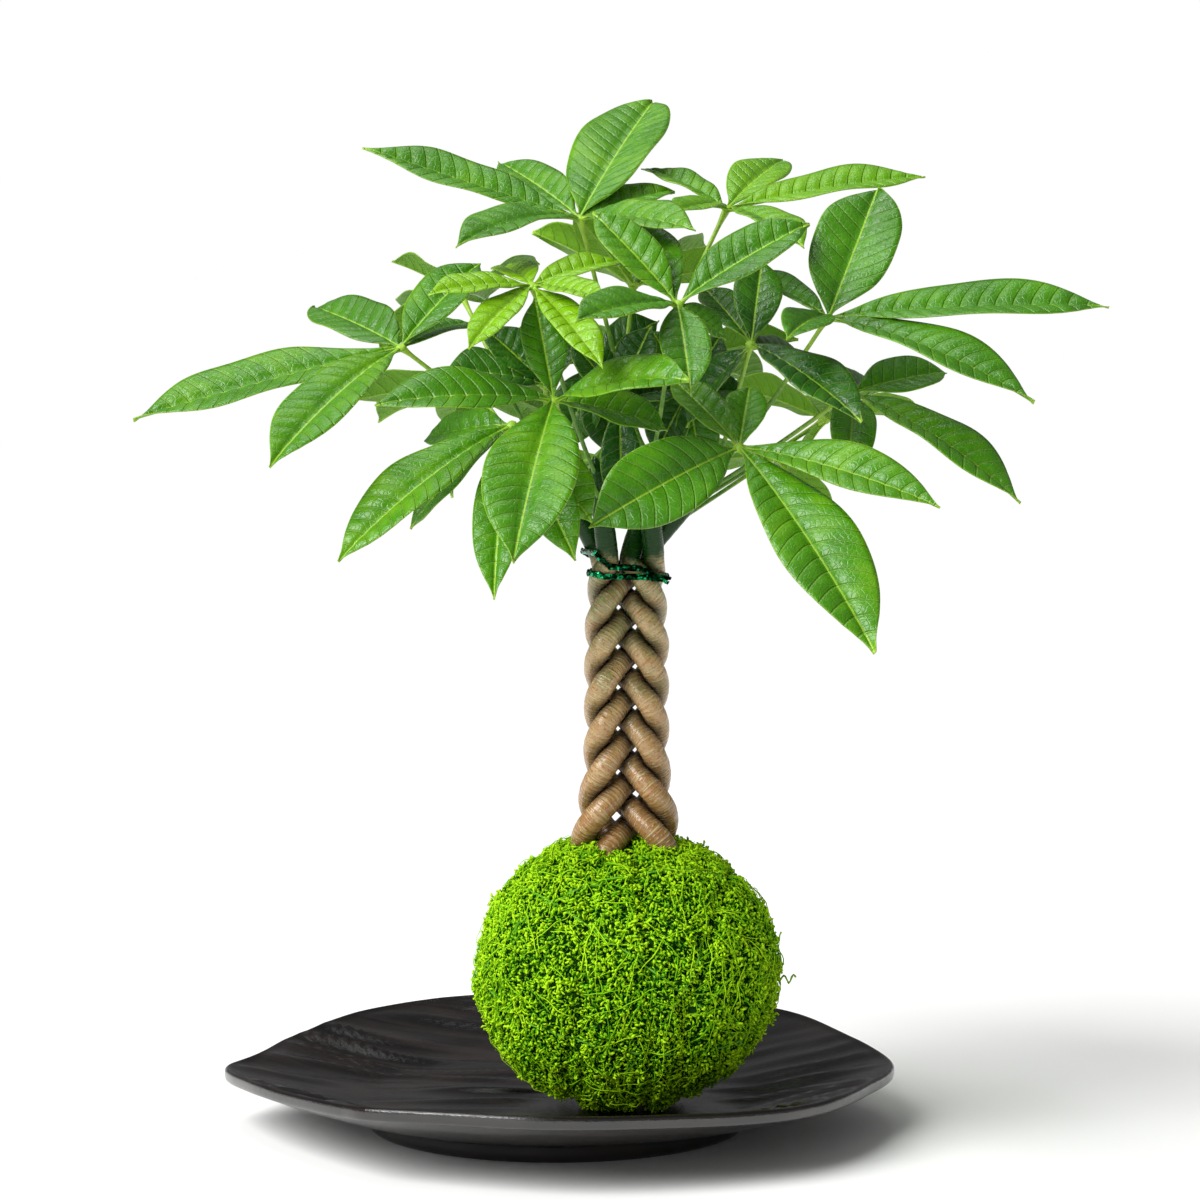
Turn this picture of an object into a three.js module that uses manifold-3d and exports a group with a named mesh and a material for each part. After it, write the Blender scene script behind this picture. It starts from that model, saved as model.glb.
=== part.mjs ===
// Potted money tree: five braided stems rise out of a moss-wrapped root ball that stands on a footed
// tray, and each stem carries long-stalked leaves whose leaflets spread from one point.
// Millimetres. X is to the right, Y away from the front, Z up. The origin is the middle of the foot's
// flat underside, on the surface that the tray stands on.

import * as THREE from 'three';
import { mergeVertices } from 'three/addons/utils/BufferGeometryUtils.js';
import Module from 'manifold-3d';

const wasm = await Module();
wasm.setup();

const GAP = 0.3; // clearance between pieces that touch
const CUT_GAP = 0.5; // clearance of a piece that is cut to fit round the stems

// Tray
const RIM_POINTS = 48;
// The uneven rim: direction in degrees, distance from the middle, and height.
const RIM = [
  [0, 132.5, 24],
  [22, 128, 26.5],
  [45, 133, 29],
  [72, 134.5, 30],
  [100, 135, 30],
  [126, 133.5, 27.5],
  [150, 125, 24.5],
  [167, 123.5, 23],
  [180, 131, 22.5],
  [198, 124, 24.5],
  [216, 122, 26],
  [232, 127, 27.8],
  [242, 129.8, 29.2],
  [270, 133, 30],
  [300, 134, 28],
  [318, 133, 26.5],
  [338, 128, 25],
];
const LIP = 5; // height of the band round the outside of the rim
const FLOOR_HEIGHT = 12;
const FLOOR_RADIUS = 78;
const DISH_CURVE = 1.2;
const WALL = 4.4;
const FOOT_RADIUS = 75;
const FOOT_HEIGHT = 10.5;
const FOOT_CHAMFER = 1.5;

// Moss ball
const BALL_CENTRE = new THREE.Vector3(27.5, -25, 65);
const BALL_RADII = new THREE.Vector3(60, 60, 55.5);
const MOSS_THICKNESS = 13;
const MOUTH_RADII = [26, 21]; // opening of the moss round the stems, filled by the neck of the soil
const NECK_TOP = 108;
const THREAD_RADIUS = 0.5;
// Each loop of thread round the ball: the tilt of its plane and the direction it tilts in, in degrees.
const THREAD_LOOPS = [
  [24, 20],
  [38, 110],
  [50, 200],
  [60, 290],
];

// Braid of five stems about a vertical axis through the ball
const AXIS = new THREE.Vector3(27, -25, 0);
const STEMS = 5;
const ROOTED_DEPTH = 88; // height of the cut ends of the stems, inside the soil
const BRAID_BASE = 122;
const STRAIGHTENING = 28; // height below the braid over which the stems turn straight down
const BRAID_TOP = 222;
const TOP_NARROWS = 190; // the braid tapers from this height up to its top
const BRAID_WIDTH = 12; // from the axis to a stem's centre line, where the stem turns at the edge
const TOP_WIDTH = 10.6;
const BRAID_DEPTH = 7.2;
const SPREAD_TOP = 150; // going down, the braid widens from here
const SPREAD_BOTTOM = 104; // to its base width here
const BASE_WIDTH = 17.5;
const BASE_DEPTH = 9;
const FIRST_CROSSING = 137.5; // height at which the first stem dives at the centre
const CROSSINGS_PER_MM = 0.059;
const TIGHTENING = 0.00006;
const STEM_RADIUS_LOW = 5;
const STEM_RADIUS_HIGH = 4;
const SHOOT_RADIUS = 2.6; // at the top of each stem, above the wire tie
const LEAVING = 0.08; // how gently the stems part above the tie, as a share of their way up
const STEM_SIDES = 8;
const RING_SPACING = 4.5; // along each stem
const PRESS_GAP = 0.5; // from a pressed flat to the middle between two stems
// Where each stem ends above the wire tie.
const STEM_TOPS = [
  new THREE.Vector3(64, -22, 260),
  new THREE.Vector3(15, -40, 264),
  new THREE.Vector3(-7, -20, 268),
  new THREE.Vector3(46, -4, 274),
  new THREE.Vector3(34, -44, 266),
];

// Wire tie
const TIE_TURNS = [
  { height: 221.5, drop: 10 }, // in the middle of the turn, and from its left side to its right
  { height: 217.2, drop: 2.4 },
];
const TIE_ENDS_AT = -55; // degrees round the braid
const WIRE_RADIUS = 1.1;

// Leaves
const HUB_RADIUS = 2.3;
const STALK_RADIUS = 1.1;
const BLADE_THICKNESS = 1.3;
const FOLD = 17; // degrees that each half of a leaflet rises from its midrib
// Stations along a leaflet, from its base to its drawn-out tip: position and half width, as shares.
const BLADE_OUTLINE = [
  [0, 0.08],
  [0.1, 0.2],
  [0.27, 0.68],
  [0.46, 0.96],
  [0.63, 1],
  [0.79, 0.76],
  [0.92, 0.26],
  [1, 0.03],
];

// Every leaf: the stem it grows on, how far below that stem's top, the point its leaflets spread from,
// the way its upper side looks, and for each leaflet the offset of its tip, its width, its arch as a
// share of its length, and its roll about its own length in degrees.
const LEAVES = {
  leaf_left: {
    stem: 2,
    below: 3,
    hub: [-58, -50, 304],
    face: [-0.1, -0.55, 0.8],
    leaflets: [
      [-97, -25, -27, 28, 0.01, 0],
      [-43, -65, -44, 27, 0.045, 0],
      [-35, 40, 16, 26, 0.03, 0],
      [29, 30, 33, 24, 0.03, 0],
      [25, 50, 10, 24, 0.03, 0],
    ],
  },
  leaf_young: {
    stem: 1,
    below: 10,
    hub: [-8, -80, 326],
    face: [0, -0.45, 0.85],
    leaflets: [
      [-37, -20, -4, 16, 0.035, 0],
      [-22, -35, -24, 15, 0.035, 0],
      [26, -45, -31, 16, 0.035, 0],
      [26, -25, -6, 15, 0.035, 0],
      [34, 30, 10, 18, 0.03, 0],
      [-12, 35, 8, 17, 0.03, 0],
    ],
  },
  leaf_top_left: {
    stem: 4,
    below: 2,
    hub: [9, -30, 353.5],
    face: [-0.1, -0.5, 0.85],
    leaflets: [
      [-83, 10, 27.5, 23, -0.005, 0],
      [-45, -50, -13.5, 24, 0.06, 0],
      [-32, 50, 24.5, 21, 0.03, 0],
      [29, 80, 51, 34, 0.02, 0],
      [37, 30, 12, 20, 0.03, 0],
      [43, -40, -7, 22, 0.045, 0],
    ],
  },
  leaf_top_right: {
    stem: 1,
    below: 2,
    hub: [66, -10, 358.5],
    face: [0.1, -0.35, 0.9],
    leaflets: [
      [78, 20, 13.5, 26, 0.01, 0],
      [24, 50, 22, 22, 0.03, 0],
      [-33, 25, 17, 19, 0.03, 0],
      [-22, -35, -4.5, 17, 0.045, 0],
      [27, -45, -17.5, 21, 0.045, 0],
    ],
  },
  leaf_right: {
    stem: 0,
    below: 1,
    hub: [102, -55, 315],
    face: [0.1, -0.5, 0.85],
    leaflets: [
      [21, 36, 50, 33, -0.01, 0],
      [104, -5, 4, 28, 0.02, 0],
      [72, -40, -32, 27, 0.05, 0],
      [-18, -46, -9, 18, 0.055, 0],
      [-34, 60, 20, 18, 0.03, 0],
    ],
  },
  leaf_centre: {
    stem: 4,
    below: 12,
    hub: [45, -85, 319],
    face: [0, -0.6, 0.8],
    leaflets: [
      [-17, 45, 32, 22, 0.03, 0],
      [-31, 18, 34, 20, 0.03, 0],
      [49, 15, 30, 24, 0.035, 0],
      [-37, -45, -8, 22, 0.045, 0],
      [4, -40, -33, 19, 0.05, 0],
      [18, 5, -13, 14, 0.035, 0],
    ],
  },
  leaf_dark: {
    stem: 0,
    below: 4,
    hub: [73, -60, 305],
    face: [0.1, -0.5, 0.85],
    leaflets: [
      [-17, 30, 22, 18, 0.03, 0],
      [5, 22, 32, 19, 0.03, 0],
      [28, 44, -8, 20, 0.035, 0],
      [38, -40, -29, 25, 0.045, 0],
      [-24, 12, -31, 20, 0.045, 0],
    ],
  },
  leaf_front: {
    stem: 1,
    below: 18,
    hub: [0, -95, 284],
    face: [0, -0.6, 0.8],
    leaflets: [
      [-63, -25, -2, 26, 0.045, 0],
      [-7, 8, 37, 17, 0.03, 0],
      [48, -35, 7, 26, 0.05, 0],
      [42, 12, -11, 24, 0.045, 0],
      [-13, -65, -56, 34, 0.045, 0],
    ],
  },
  leaf_low_left: {
    stem: 2,
    below: 12,
    hub: [-16, -70, 275],
    face: [-0.2, -0.6, 0.75],
    leaflets: [
      [-61, -40, -49, 27, 0.055, 0],
      [-38, 10, -39, 18, 0.055, 0],
      [-5, -50, -62, 19, 0.04, 0],
      [-34, 30, -6, 20, 0.035, 0],
      [24, -30, -49, 20, 0.055, 0],
      [30, -6, -36, 22, 0.045, 0],
    ],
  },
  leaf_low_front: {
    stem: 4,
    below: 20,
    hub: [67, -100, 267],
    face: [0.1, -0.65, 0.75],
    leaflets: [
      [-54, -35, -28, 31, 0.055, -20],
      [44, -65, -70, 33, 0.045, 0],
      [69, -35, -21, 25, 0.045, 0],
      [-24, 30, 25, 17, 0.03, 0],
      [5, 30, 22, 16, 0.03, 0],
    ],
  },
  leaf_low_right: {
    stem: 0,
    below: 14,
    hub: [112, -38, 287],
    face: [0.25, -0.55, 0.8],
    leaflets: [
      [60, -35, -41, 25, 0.055, 0],
      [38, 18, 8, 22, 0.035, 0],
      [-4, -38, -29, 18, 0.055, 0],
      [10, 50, 5, 22, 0.035, 0],
      [-24, 32, 8, 18, 0.035, 0],
    ],
  },
  leaf_inner_left: {
    stem: 2,
    below: 6,
    hub: [-4, -36, 290],
    face: [0, -0.6, 0.8],
    leaflets: [
      [-38, -16, 4, 24, 0.06, 0],
      [-24, 6, 22, 20, 0.03, 0],
      [-6, 14, 26, 18, 0.03, 0],
      [12, -2, 24, 18, 0.03, 0],
    ],
  },
  leaf_inner: {
    stem: 1,
    below: 6,
    hub: [24, -50, 284],
    face: [0, -0.6, 0.8],
    leaflets: [
      [1, -8, -42, 16, 0.05, 0],
      [-18, 4, 22, 18, 0.035, 0],
      [12, 2, 28, 17, 0.035, 0],
      [22, 6, 4, 18, 0.035, 0],
    ],
  },
  leaf_inner_right: {
    stem: 0,
    below: 10,
    hub: [50, -32, 287],
    face: [0.05, -0.6, 0.8],
    leaflets: [
      [-12, -4, -24, 18, 0.045, 0],
      [5, -2, -29, 18, 0.045, 0],
      [-14, 0, 24, 18, 0.035, 0],
      [13, 5, 22, 18, 0.035, 0],
      [23, 7, 0, 17, 0.04, 0],
    ],
  },
  leaf_inner_back: {
    stem: 3,
    below: 8,
    hub: [16, 18, 300],
    face: [0, -0.7, 0.7],
    leaflets: [
      [-14, -8, -36, 22, 0.035, 0],
      [6, -10, -38, 22, 0.035, 0],
      [26, -2, -24, 20, 0.035, 0],
      [-30, 2, 6, 22, 0.035, 0],
      [24, 4, 16, 20, 0.035, 0],
    ],
  },
  leaf_pale_right: {
    stem: 0,
    below: 18,
    hub: [106, 24, 277],
    face: [0.2, 0.5, 0.8],
    leaflets: [
      [-38, 12, 14, 22, 0.035, 0],
      [-12, 52, 10, 24, 0.035, 0],
      [34, 46, 14, 24, 0.035, 0],
      [40, 16, 3, 20, 0.045, 0],
      [-18, -22, -34, 18, 0.045, 0],
    ],
  },
  leaf_pale_back: {
    stem: 1,
    below: 26,
    hub: [30, 20, 330],
    face: [0, 0.6, 0.8],
    leaflets: [
      [-40, 22, 22, 24, 0.035, 0],
      [-12, 58, 24, 26, 0.035, 0],
      [30, 50, 18, 26, 0.035, 0],
      [44, 10, 8, 22, 0.035, 0],
      [-24, -14, 28, 18, 0.035, 0],
    ],
  },
  leaf_back_left: {
    stem: 2,
    below: 20,
    hub: [-38, 22, 326],
    face: [-0.2, 0.3, 0.9],
    leaflets: [
      [-28, 10, 14, 24, 0.035, 0],
      [-34, 20, -22, 24, 0.035, 0],
      [-24, 62, -6, 26, 0.035, 0],
      [8, 66, 0, 26, 0.035, 0],
      [30, 36, 14, 22, 0.035, 0],
    ],
  },
  leaf_rear_low_left: {
    stem: 2,
    below: 30,
    hub: [-34, 44, 290],
    face: [-0.3, 0.5, 0.8],
    leaflets: [
      [-52, 8, -6, 24, 0.045, 0],
      [-42, 56, -14, 28, 0.045, 0],
      [-4, 76, -20, 28, 0.045, 0],
      [36, 50, -14, 24, 0.045, 0],
      [-8, -24, -44, 20, 0.045, 0],
    ],
  },
  leaf_rear: {
    stem: 3,
    below: 18,
    hub: [44, 62, 300],
    face: [0, 0.5, 0.85],
    leaflets: [
      [-40, 36, 10, 24, 0.035, 0],
      [-10, 76, -14, 30, 0.045, 0],
      [42, 56, -8, 28, 0.045, 0],
      [54, 8, 10, 24, 0.035, 0],
      [4, 0, -38, 20, 0.045, 0],
    ],
  },
  leaf_rear_right: {
    stem: 0,
    below: 26,
    hub: [88, 58, 262],
    face: [0.3, 0.5, 0.8],
    leaflets: [
      [48, 26, -12, 22, 0.045, 0],
      [44, 54, -8, 28, 0.045, 0],
      [-2, 70, -18, 26, 0.045, 0],
      [-42, 34, -6, 22, 0.045, 0],
      [22, 12, -32, 20, 0.045, 0],
    ],
  },
  leaf_rear_low: {
    stem: 3,
    below: 26,
    hub: [18, 40, 262],
    face: [-0.1, 0.6, 0.8],
    leaflets: [
      [-50, 16, -14, 24, 0.045, 0],
      [-34, 58, -18, 28, 0.045, 0],
      [16, 64, -20, 28, 0.045, 0],
      [44, 28, -14, 24, 0.045, 0],
    ],
  },
};

// Looks of each kind of piece
const LOOKS = {
  tray: { color: 0x17191a, roughness: 0.28, metalness: 0 },
  soil: { color: 0x3a2a1c, roughness: 0.95, metalness: 0 },
  moss: { color: 0x6fa51f, roughness: 0.95, metalness: 0 },
  thread: { color: 0x5a6b2a, roughness: 0.8, metalness: 0 },
  bark: { color: 0x8c7a4e, roughness: 0.55, metalness: 0 },
  wire: { color: 0x1f5a34, roughness: 0.25, metalness: 0.8 },
  leaf: { color: 0x2f7a1f, roughness: 0.35, metalness: 0 },
  youngLeaf: { color: 0x9fc63a, roughness: 0.4, metalness: 0 },
};
const PALE_LEAVES = ['leaf_young', 'leaf_pale_right', 'leaf_pale_back'];

const UP = new THREE.Vector3(0, 0, 1);

function radians(degrees) {
  return THREE.MathUtils.degToRad(degrees);
}

function smooth(low, high, value) {
  return THREE.MathUtils.smoothstep(value, low, high);
}

// A closed tube of faces through rings of points, all with the same number of points.
function loft(rings) {
  const sides = rings[0].length;
  const last = rings.length - 1;
  const corners = [];
  for (let i = 0; i < last; i++) {
    for (let j = 0; j < sides; j++) {
      const k = (j + 1) % sides;
      corners.push(rings[i][j], rings[i][k], rings[i + 1][k]);
      corners.push(rings[i][j], rings[i + 1][k], rings[i + 1][j]);
    }
  }
  for (let j = 0; j < sides; j++) {
    const k = (j + 1) % sides;
    corners.push(middle(rings[0]), rings[0][k], rings[0][j]);
    corners.push(middle(rings[last]), rings[last][j], rings[last][k]);
  }
  return new THREE.BufferGeometry().setFromPoints(corners);
}

function middle(ring) {
  const sum = new THREE.Vector3();
  for (const point of ring) {
    sum.add(point);
  }
  return sum.divideScalar(ring.length);
}

function ringAround(centre, normal, binormal, sides, reach) {
  const ring = [];
  for (let j = 0; j < sides; j++) {
    const angle = (2 * Math.PI * j) / sides;
    const direction = normal.clone().multiplyScalar(Math.cos(angle));
    direction.addScaledVector(binormal, Math.sin(angle));
    ring.push(direction.multiplyScalar(reach(direction)).add(centre));
  }
  return ring;
}

// A round tube along a curve, with a radius for each share of its length.
function sweep(curve, segments, sides, radiusAt) {
  const frames = curve.computeFrenetFrames(segments, false);
  const rings = [];
  for (let i = 0; i <= segments; i++) {
    const share = i / segments;
    const centre = curve.getPointAt(share);
    rings.push(ringAround(centre, frames.normals[i], frames.binormals[i], sides, () => radiusAt(share)));
  }
  return loft(rings);
}

function solid(geometry) {
  const bare = new THREE.BufferGeometry();
  bare.setAttribute('position', geometry.getAttribute('position'));
  bare.setIndex(geometry.getIndex());
  const merged = mergeVertices(bare, 1e-4);
  const mesh = new wasm.Mesh({
    numProp: 3,
    vertProperties: merged.getAttribute('position').array,
    triVerts: new Uint32Array(merged.getIndex().array),
  });
  return new wasm.Manifold(mesh);
}

function geometryOf(manifold) {
  const mesh = manifold.getMesh();
  const geometry = new THREE.BufferGeometry();
  geometry.setAttribute('position', new THREE.BufferAttribute(mesh.vertProperties, mesh.numProp));
  geometry.setIndex(new THREE.BufferAttribute(mesh.triVerts, 1));
  return geometry;
}

function join(solids) {
  return solids.reduce((whole, piece) => whole.add(piece));
}

// Tray: a shallow hand-formed dish of uneven outline on a solid round foot.
function rimCurve() {
  const points = RIM.map(([degrees, reach, height]) => {
    const angle = radians(degrees);
    return new THREE.Vector3(reach * Math.cos(angle), reach * Math.sin(angle), height);
  });
  return new THREE.CatmullRomCurve3(points, true);
}

function trayGeometry() {
  const rings = rimCurve().getSpacedPoints(RIM_POINTS).slice(0, RIM_POINTS).map((edge) => {
    const rim = Math.hypot(edge.x, edge.y);
    const rise = edge.z - FLOOR_HEIGHT;
    const run = rim - FLOOR_RADIUS;
    const profile = [[FLOOR_RADIUS * 0.6, FLOOR_HEIGHT], [FLOOR_RADIUS, FLOOR_HEIGHT]];
    for (const share of [0.2, 0.4, 0.6, 0.8]) {
      profile.push([FLOOR_RADIUS + run * share, FLOOR_HEIGHT + rise * share ** DISH_CURVE]);
    }
    profile.push([rim - 3, edge.z - 0.7], [rim - 1.2, edge.z]);
    profile.push([rim, edge.z - 1.2], [rim - 0.8, edge.z - LIP]);
    for (const share of [0.8, 0.45, 0.12]) {
      profile.push([FLOOR_RADIUS + run * share, FLOOR_HEIGHT + rise * share ** DISH_CURVE - WALL]);
    }
    profile.push([FOOT_RADIUS, FOOT_HEIGHT - 1.5], [FOOT_RADIUS, FOOT_CHAMFER]);
    profile.push([FOOT_RADIUS - FOOT_CHAMFER, 0], [FOOT_RADIUS * 0.6, 0]);
    return profile.map(([r, z]) => new THREE.Vector3((edge.x * r) / rim, (edge.y * r) / rim, z));
  });
  return closedRound(rings, new THREE.Vector3(0, 0, FLOOR_HEIGHT), new THREE.Vector3(0, 0, 0));
}

// Faces through profiles set round the vertical axis, each from a point on the axis down to another.
function closedRound(rings, top, bottom) {
  const corners = [];
  for (let i = 0; i < rings.length; i++) {
    const here = rings[i];
    const next = rings[(i + 1) % rings.length];
    const last = here.length - 1;
    corners.push(top, here[0], next[0]);
    for (let j = 0; j < last; j++) {
      corners.push(here[j], here[j + 1], next[j + 1]);
      corners.push(here[j], next[j + 1], next[j]);
    }
    corners.push(bottom, next[last], here[last]);
  }
  return new THREE.BufferGeometry().setFromPoints(corners);
}

// Moss ball: a soil ball in a thick cover of moss, flat where it rests on the tray.
function ballSolid(shrink, columns, rows) {
  const geometry = new THREE.SphereGeometry(1, columns, rows);
  geometry.rotateX(Math.PI / 2);
  geometry.scale(BALL_RADII.x - shrink, BALL_RADII.y - shrink, BALL_RADII.z - shrink);
  geometry.translate(BALL_CENTRE.x, BALL_CENTRE.y, BALL_CENTRE.z);
  return solid(geometry);
}

function neckSolid(clearance, top) {
  const [wide, deep] = MOUTH_RADII;
  const geometry = new THREE.CylinderGeometry(1, 1, top - BALL_CENTRE.z, 18);
  geometry.rotateX(Math.PI / 2);
  geometry.scale(wide + clearance, deep + clearance, 1);
  geometry.translate(AXIS.x, AXIS.y, (top + BALL_CENTRE.z) / 2);
  return solid(geometry);
}

function mossSolid() {
  const resting = new THREE.BoxGeometry(200, 200, 100);
  resting.translate(BALL_CENTRE.x, BALL_CENTRE.y, FLOOR_HEIGHT + GAP - 50);
  const cover = ballSolid(0, 26, 16).subtract(solid(resting));
  return cover.subtract(ballSolid(MOSS_THICKNESS, 16, 10)).subtract(neckSolid(0, 200));
}

function soilSolid(stemsGrown) {
  const ball = ballSolid(MOSS_THICKNESS + GAP, 16, 10).add(neckSolid(-GAP, NECK_TOP));
  return ball.subtract(stemsGrown);
}

function threadSolid() {
  const clear = THREAD_RADIUS + GAP + 0.4;
  const loops = THREAD_LOOPS.map(([tilt, towards]) => {
    const turn = new THREE.Matrix4().makeRotationZ(radians(towards));
    turn.multiply(new THREE.Matrix4().makeRotationX(radians(tilt)));
    const path = [];
    for (let i = 0; i < 24; i++) {
      const angle = (2 * Math.PI * i) / 24;
      const point = new THREE.Vector3(Math.cos(angle), Math.sin(angle), 0).applyMatrix4(turn);
      point.set(
        point.x * (BALL_RADII.x + clear),
        point.y * (BALL_RADII.y + clear),
        point.z * (BALL_RADII.z + clear),
      );
      path.push(point.add(BALL_CENTRE));
    }
    return ringSolid(path, THREAD_RADIUS, 4);
  });
  return join(loops);
}

// A round wire through the points of a closed path.
function ringSolid(path, radius, sides) {
  const curve = new THREE.CatmullRomCurve3(path, true);
  const tube = new THREE.TubeGeometry(curve, path.length, radius, sides, true);
  return solid(tube);
}

// Stems
function turnsAt(height) {
  const under = THREE.MathUtils.clamp(BRAID_BASE - height, 0, STRAIGHTENING);
  const eased = Math.max(height, BRAID_BASE - STRAIGHTENING) + (under * under) / (2 * STRAIGHTENING);
  const above = eased - FIRST_CROSSING;
  return CROSSINGS_PER_MM * above + TIGHTENING * above * above;
}

function braidPoint(stem, height) {
  const spread = 1 - smooth(SPREAD_BOTTOM, SPREAD_TOP, height);
  const phase = (2 * Math.PI * (turnsAt(Math.min(height, BRAID_TOP)) - stem)) / STEMS;
  const narrowing = smooth(TOP_NARROWS, BRAID_TOP, height);
  const upper = THREE.MathUtils.lerp(BRAID_WIDTH, TOP_WIDTH, narrowing);
  const wide = THREE.MathUtils.lerp(upper, BASE_WIDTH, spread);
  const deep = THREE.MathUtils.lerp(BRAID_DEPTH, BASE_DEPTH, spread);
  return new THREE.Vector3(wide * Math.sin(phase), deep * Math.sin(2 * phase), height).add(AXIS);
}

function stemPoint(stem, height) {
  const top = STEM_TOPS[stem];
  const point = braidPoint(stem, height);
  const share = Math.max(0, (height - BRAID_TOP) / (top.z - BRAID_TOP));
  const leave = ((1 + LEAVING) * share * share) / (share + LEAVING);
  point.x = THREE.MathUtils.lerp(point.x, top.x, leave);
  point.y = THREE.MathUtils.lerp(point.y, top.y, leave);
  return point;
}

function stemRadius(height) {
  const radius = THREE.MathUtils.mapLinear(height, ROOTED_DEPTH, 240, STEM_RADIUS_LOW, STEM_RADIUS_HIGH);
  return THREE.MathUtils.lerp(radius, SHOOT_RADIUS, smooth(235, 275, height));
}

// How far a stem's surface reaches from its centre line in one direction: it is pressed flat where it
// meets the next stem, halfway between their centre lines.
function pressedReach(centre, direction, radius, neighbours) {
  let reach = radius;
  for (const neighbour of neighbours) {
    const across = neighbour.clone().sub(centre);
    const distance = across.length();
    const facing = across.dot(direction) / distance;
    if (facing > 0.05) {
      reach = Math.min(reach, (distance / 2 - PRESS_GAP) / facing);
    }
  }
  return reach;
}

// Heights of the rings of one stem, evenly spaced along its length.
function ringHeights(stem) {
  const top = STEM_TOPS[stem].z;
  const heights = [ROOTED_DEPTH];
  let height = ROOTED_DEPTH;
  while (height < top - RING_SPACING) {
    const climb = stemPoint(stem, height + 1).distanceTo(stemPoint(stem, height));
    height += RING_SPACING / climb;
    heights.push(Math.min(height, top));
  }
  heights[heights.length - 1] = top;
  return heights;
}

// One stem, with its surface moved outwards by a clearance when it is used to cut another piece.
function stemSolid(stem, clearance) {
  const rings = ringHeights(stem).map((height) => {
    const centre = stemPoint(stem, height);
    const along = stemPoint(stem, height + 0.5).sub(stemPoint(stem, height - 0.5)).normalize();
    const binormal = new THREE.Vector3().crossVectors(along, new THREE.Vector3(1, 0, 0)).normalize();
    const normal = new THREE.Vector3().crossVectors(binormal, along);
    const neighbours = nearbyStems(stem, centre);
    const radius = stemRadius(height);
    const reach = (direction) => pressedReach(centre, direction, radius, neighbours) + clearance;
    return ringAround(centre, normal, binormal, STEM_SIDES, reach);
  });
  return solid(loft(rings));
}

function largestPart(whole) {
  return whole.decompose().reduce((best, part) => (part.volume() > best.volume() ? part : best));
}

function nearbyStems(stem, centre) {
  const found = [];
  for (let other = 0; other < STEMS; other++) {
    if (other === stem) {
      continue;
    }
    for (let height = centre.z - 10; height <= centre.z + 10; height += 1) {
      const point = stemPoint(other, Math.min(height, STEM_TOPS[other].z));
      if (point.distanceTo(centre) < 14) {
        found.push(point);
      }
    }
  }
  return found;
}

// Wire tie: two turns drawn tight round all the stems, meeting on the right, with twisted ends.
function tiePoint(degrees, turn, clear) {
  const height = turn.height - (turn.drop / 2) * Math.cos(radians(degrees));
  const outward = new THREE.Vector3(Math.cos(radians(degrees)), Math.sin(radians(degrees)), 0);
  let farthest = null;
  for (let stem = 0; stem < STEMS; stem++) {
    for (const nearby of [-2, 0, 2]) {
      const centre = stemPoint(stem, height + nearby).setZ(height);
      if (!farthest || centre.dot(outward) > farthest.dot(outward)) {
        farthest = centre;
      }
    }
  }
  return farthest.clone().addScaledVector(outward, stemRadius(height) + clear);
}

function tieSolid() {
  const clear = WIRE_RADIUS + GAP + 0.3;
  const turns = TIE_TURNS.map((turn) => {
    const path = [];
    for (let degrees = 0; degrees < 360; degrees += 12) {
      path.push(tiePoint(degrees, turn, clear));
    }
    return ringSolid(path, WIRE_RADIUS, 5);
  });
  const start = tiePoint(TIE_ENDS_AT, TIE_TURNS[0], clear);
  const ends = new THREE.QuadraticBezierCurve3(
    start,
    start.clone().add(new THREE.Vector3(3, -3, 0)),
    start.clone().add(new THREE.Vector3(9, -4, -2)),
  );
  return join([...turns, solid(sweep(ends, 4, 6, () => WIRE_RADIUS * 1.3))]);
}

// Leaves
function leafletSolid(hub, upper, leaflet) {
  const [right, back, up, width, arch, roll] = leaflet;
  const reach = new THREE.Vector3(right, back, up);
  const along = reach.clone().normalize();
  const face = upper.clone().addScaledVector(along, -along.dot(upper)).normalize();
  face.applyAxisAngle(along, radians(roll));
  const across = new THREE.Vector3().crossVectors(along, face);
  const bow = hub.clone().addScaledVector(reach, 0.5).addScaledVector(face, 2 * arch * reach.length());
  const midrib = new THREE.QuadraticBezierCurve3(hub, bow, hub.clone().add(reach));
  const rings = BLADE_OUTLINE.map(([share, halfWidth]) => {
    const centre = midrib.getPoint(share);
    const normal = new THREE.Vector3().crossVectors(across, midrib.getTangent(share)).normalize();
    const half = (halfWidth * width) / 2;
    const edge = normal.clone().multiplyScalar(half * Math.sin(radians(FOLD)));
    edge.add(centre);
    const flat = half * Math.cos(radians(FOLD));
    const rib = (BLADE_THICKNESS / 2) * (0.5 + halfWidth / 2);
    return [
      edge.clone().addScaledVector(across, flat),
      centre.clone().addScaledVector(normal, -rib),
      edge.clone().addScaledVector(across, -flat),
      centre.clone().addScaledVector(normal, rib),
    ];
  });
  return solid(loft(rings));
}

function leafSolid(leaf, stemsGrown) {
  const hub = new THREE.Vector3(...leaf.hub);
  const start = stemPoint(leaf.stem, STEM_TOPS[leaf.stem].z - leaf.below);
  const rise = hub.z - start.z;
  const lean = new THREE.Vector3(hub.x - start.x, hub.y - start.y, 0);
  const stalk = new THREE.CubicBezierCurve3(
    start,
    start.clone().addScaledVector(lean, 0.3).addScaledVector(UP, 0.12 * rise + 5),
    hub.clone().addScaledVector(lean, -0.33).addScaledVector(UP, -0.35 * Math.max(rise, 20)),
    hub,
  );
  const thickness = (share) => STALK_RADIUS * (1.15 - 0.3 * Math.sin(Math.PI * share));
  const knob = new THREE.SphereGeometry(HUB_RADIUS, 6, 4);
  knob.translate(hub.x, hub.y, hub.z);
  const upper = new THREE.Vector3(...leaf.face);
  const blades = leaf.leaflets.map((leaflet) => leafletSolid(hub, upper, leaflet));
  const whole = join([solid(sweep(stalk, 8, 5, thickness)), solid(knob), ...blades]);
  return largestPart(whole.subtract(stemsGrown));
}

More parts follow.
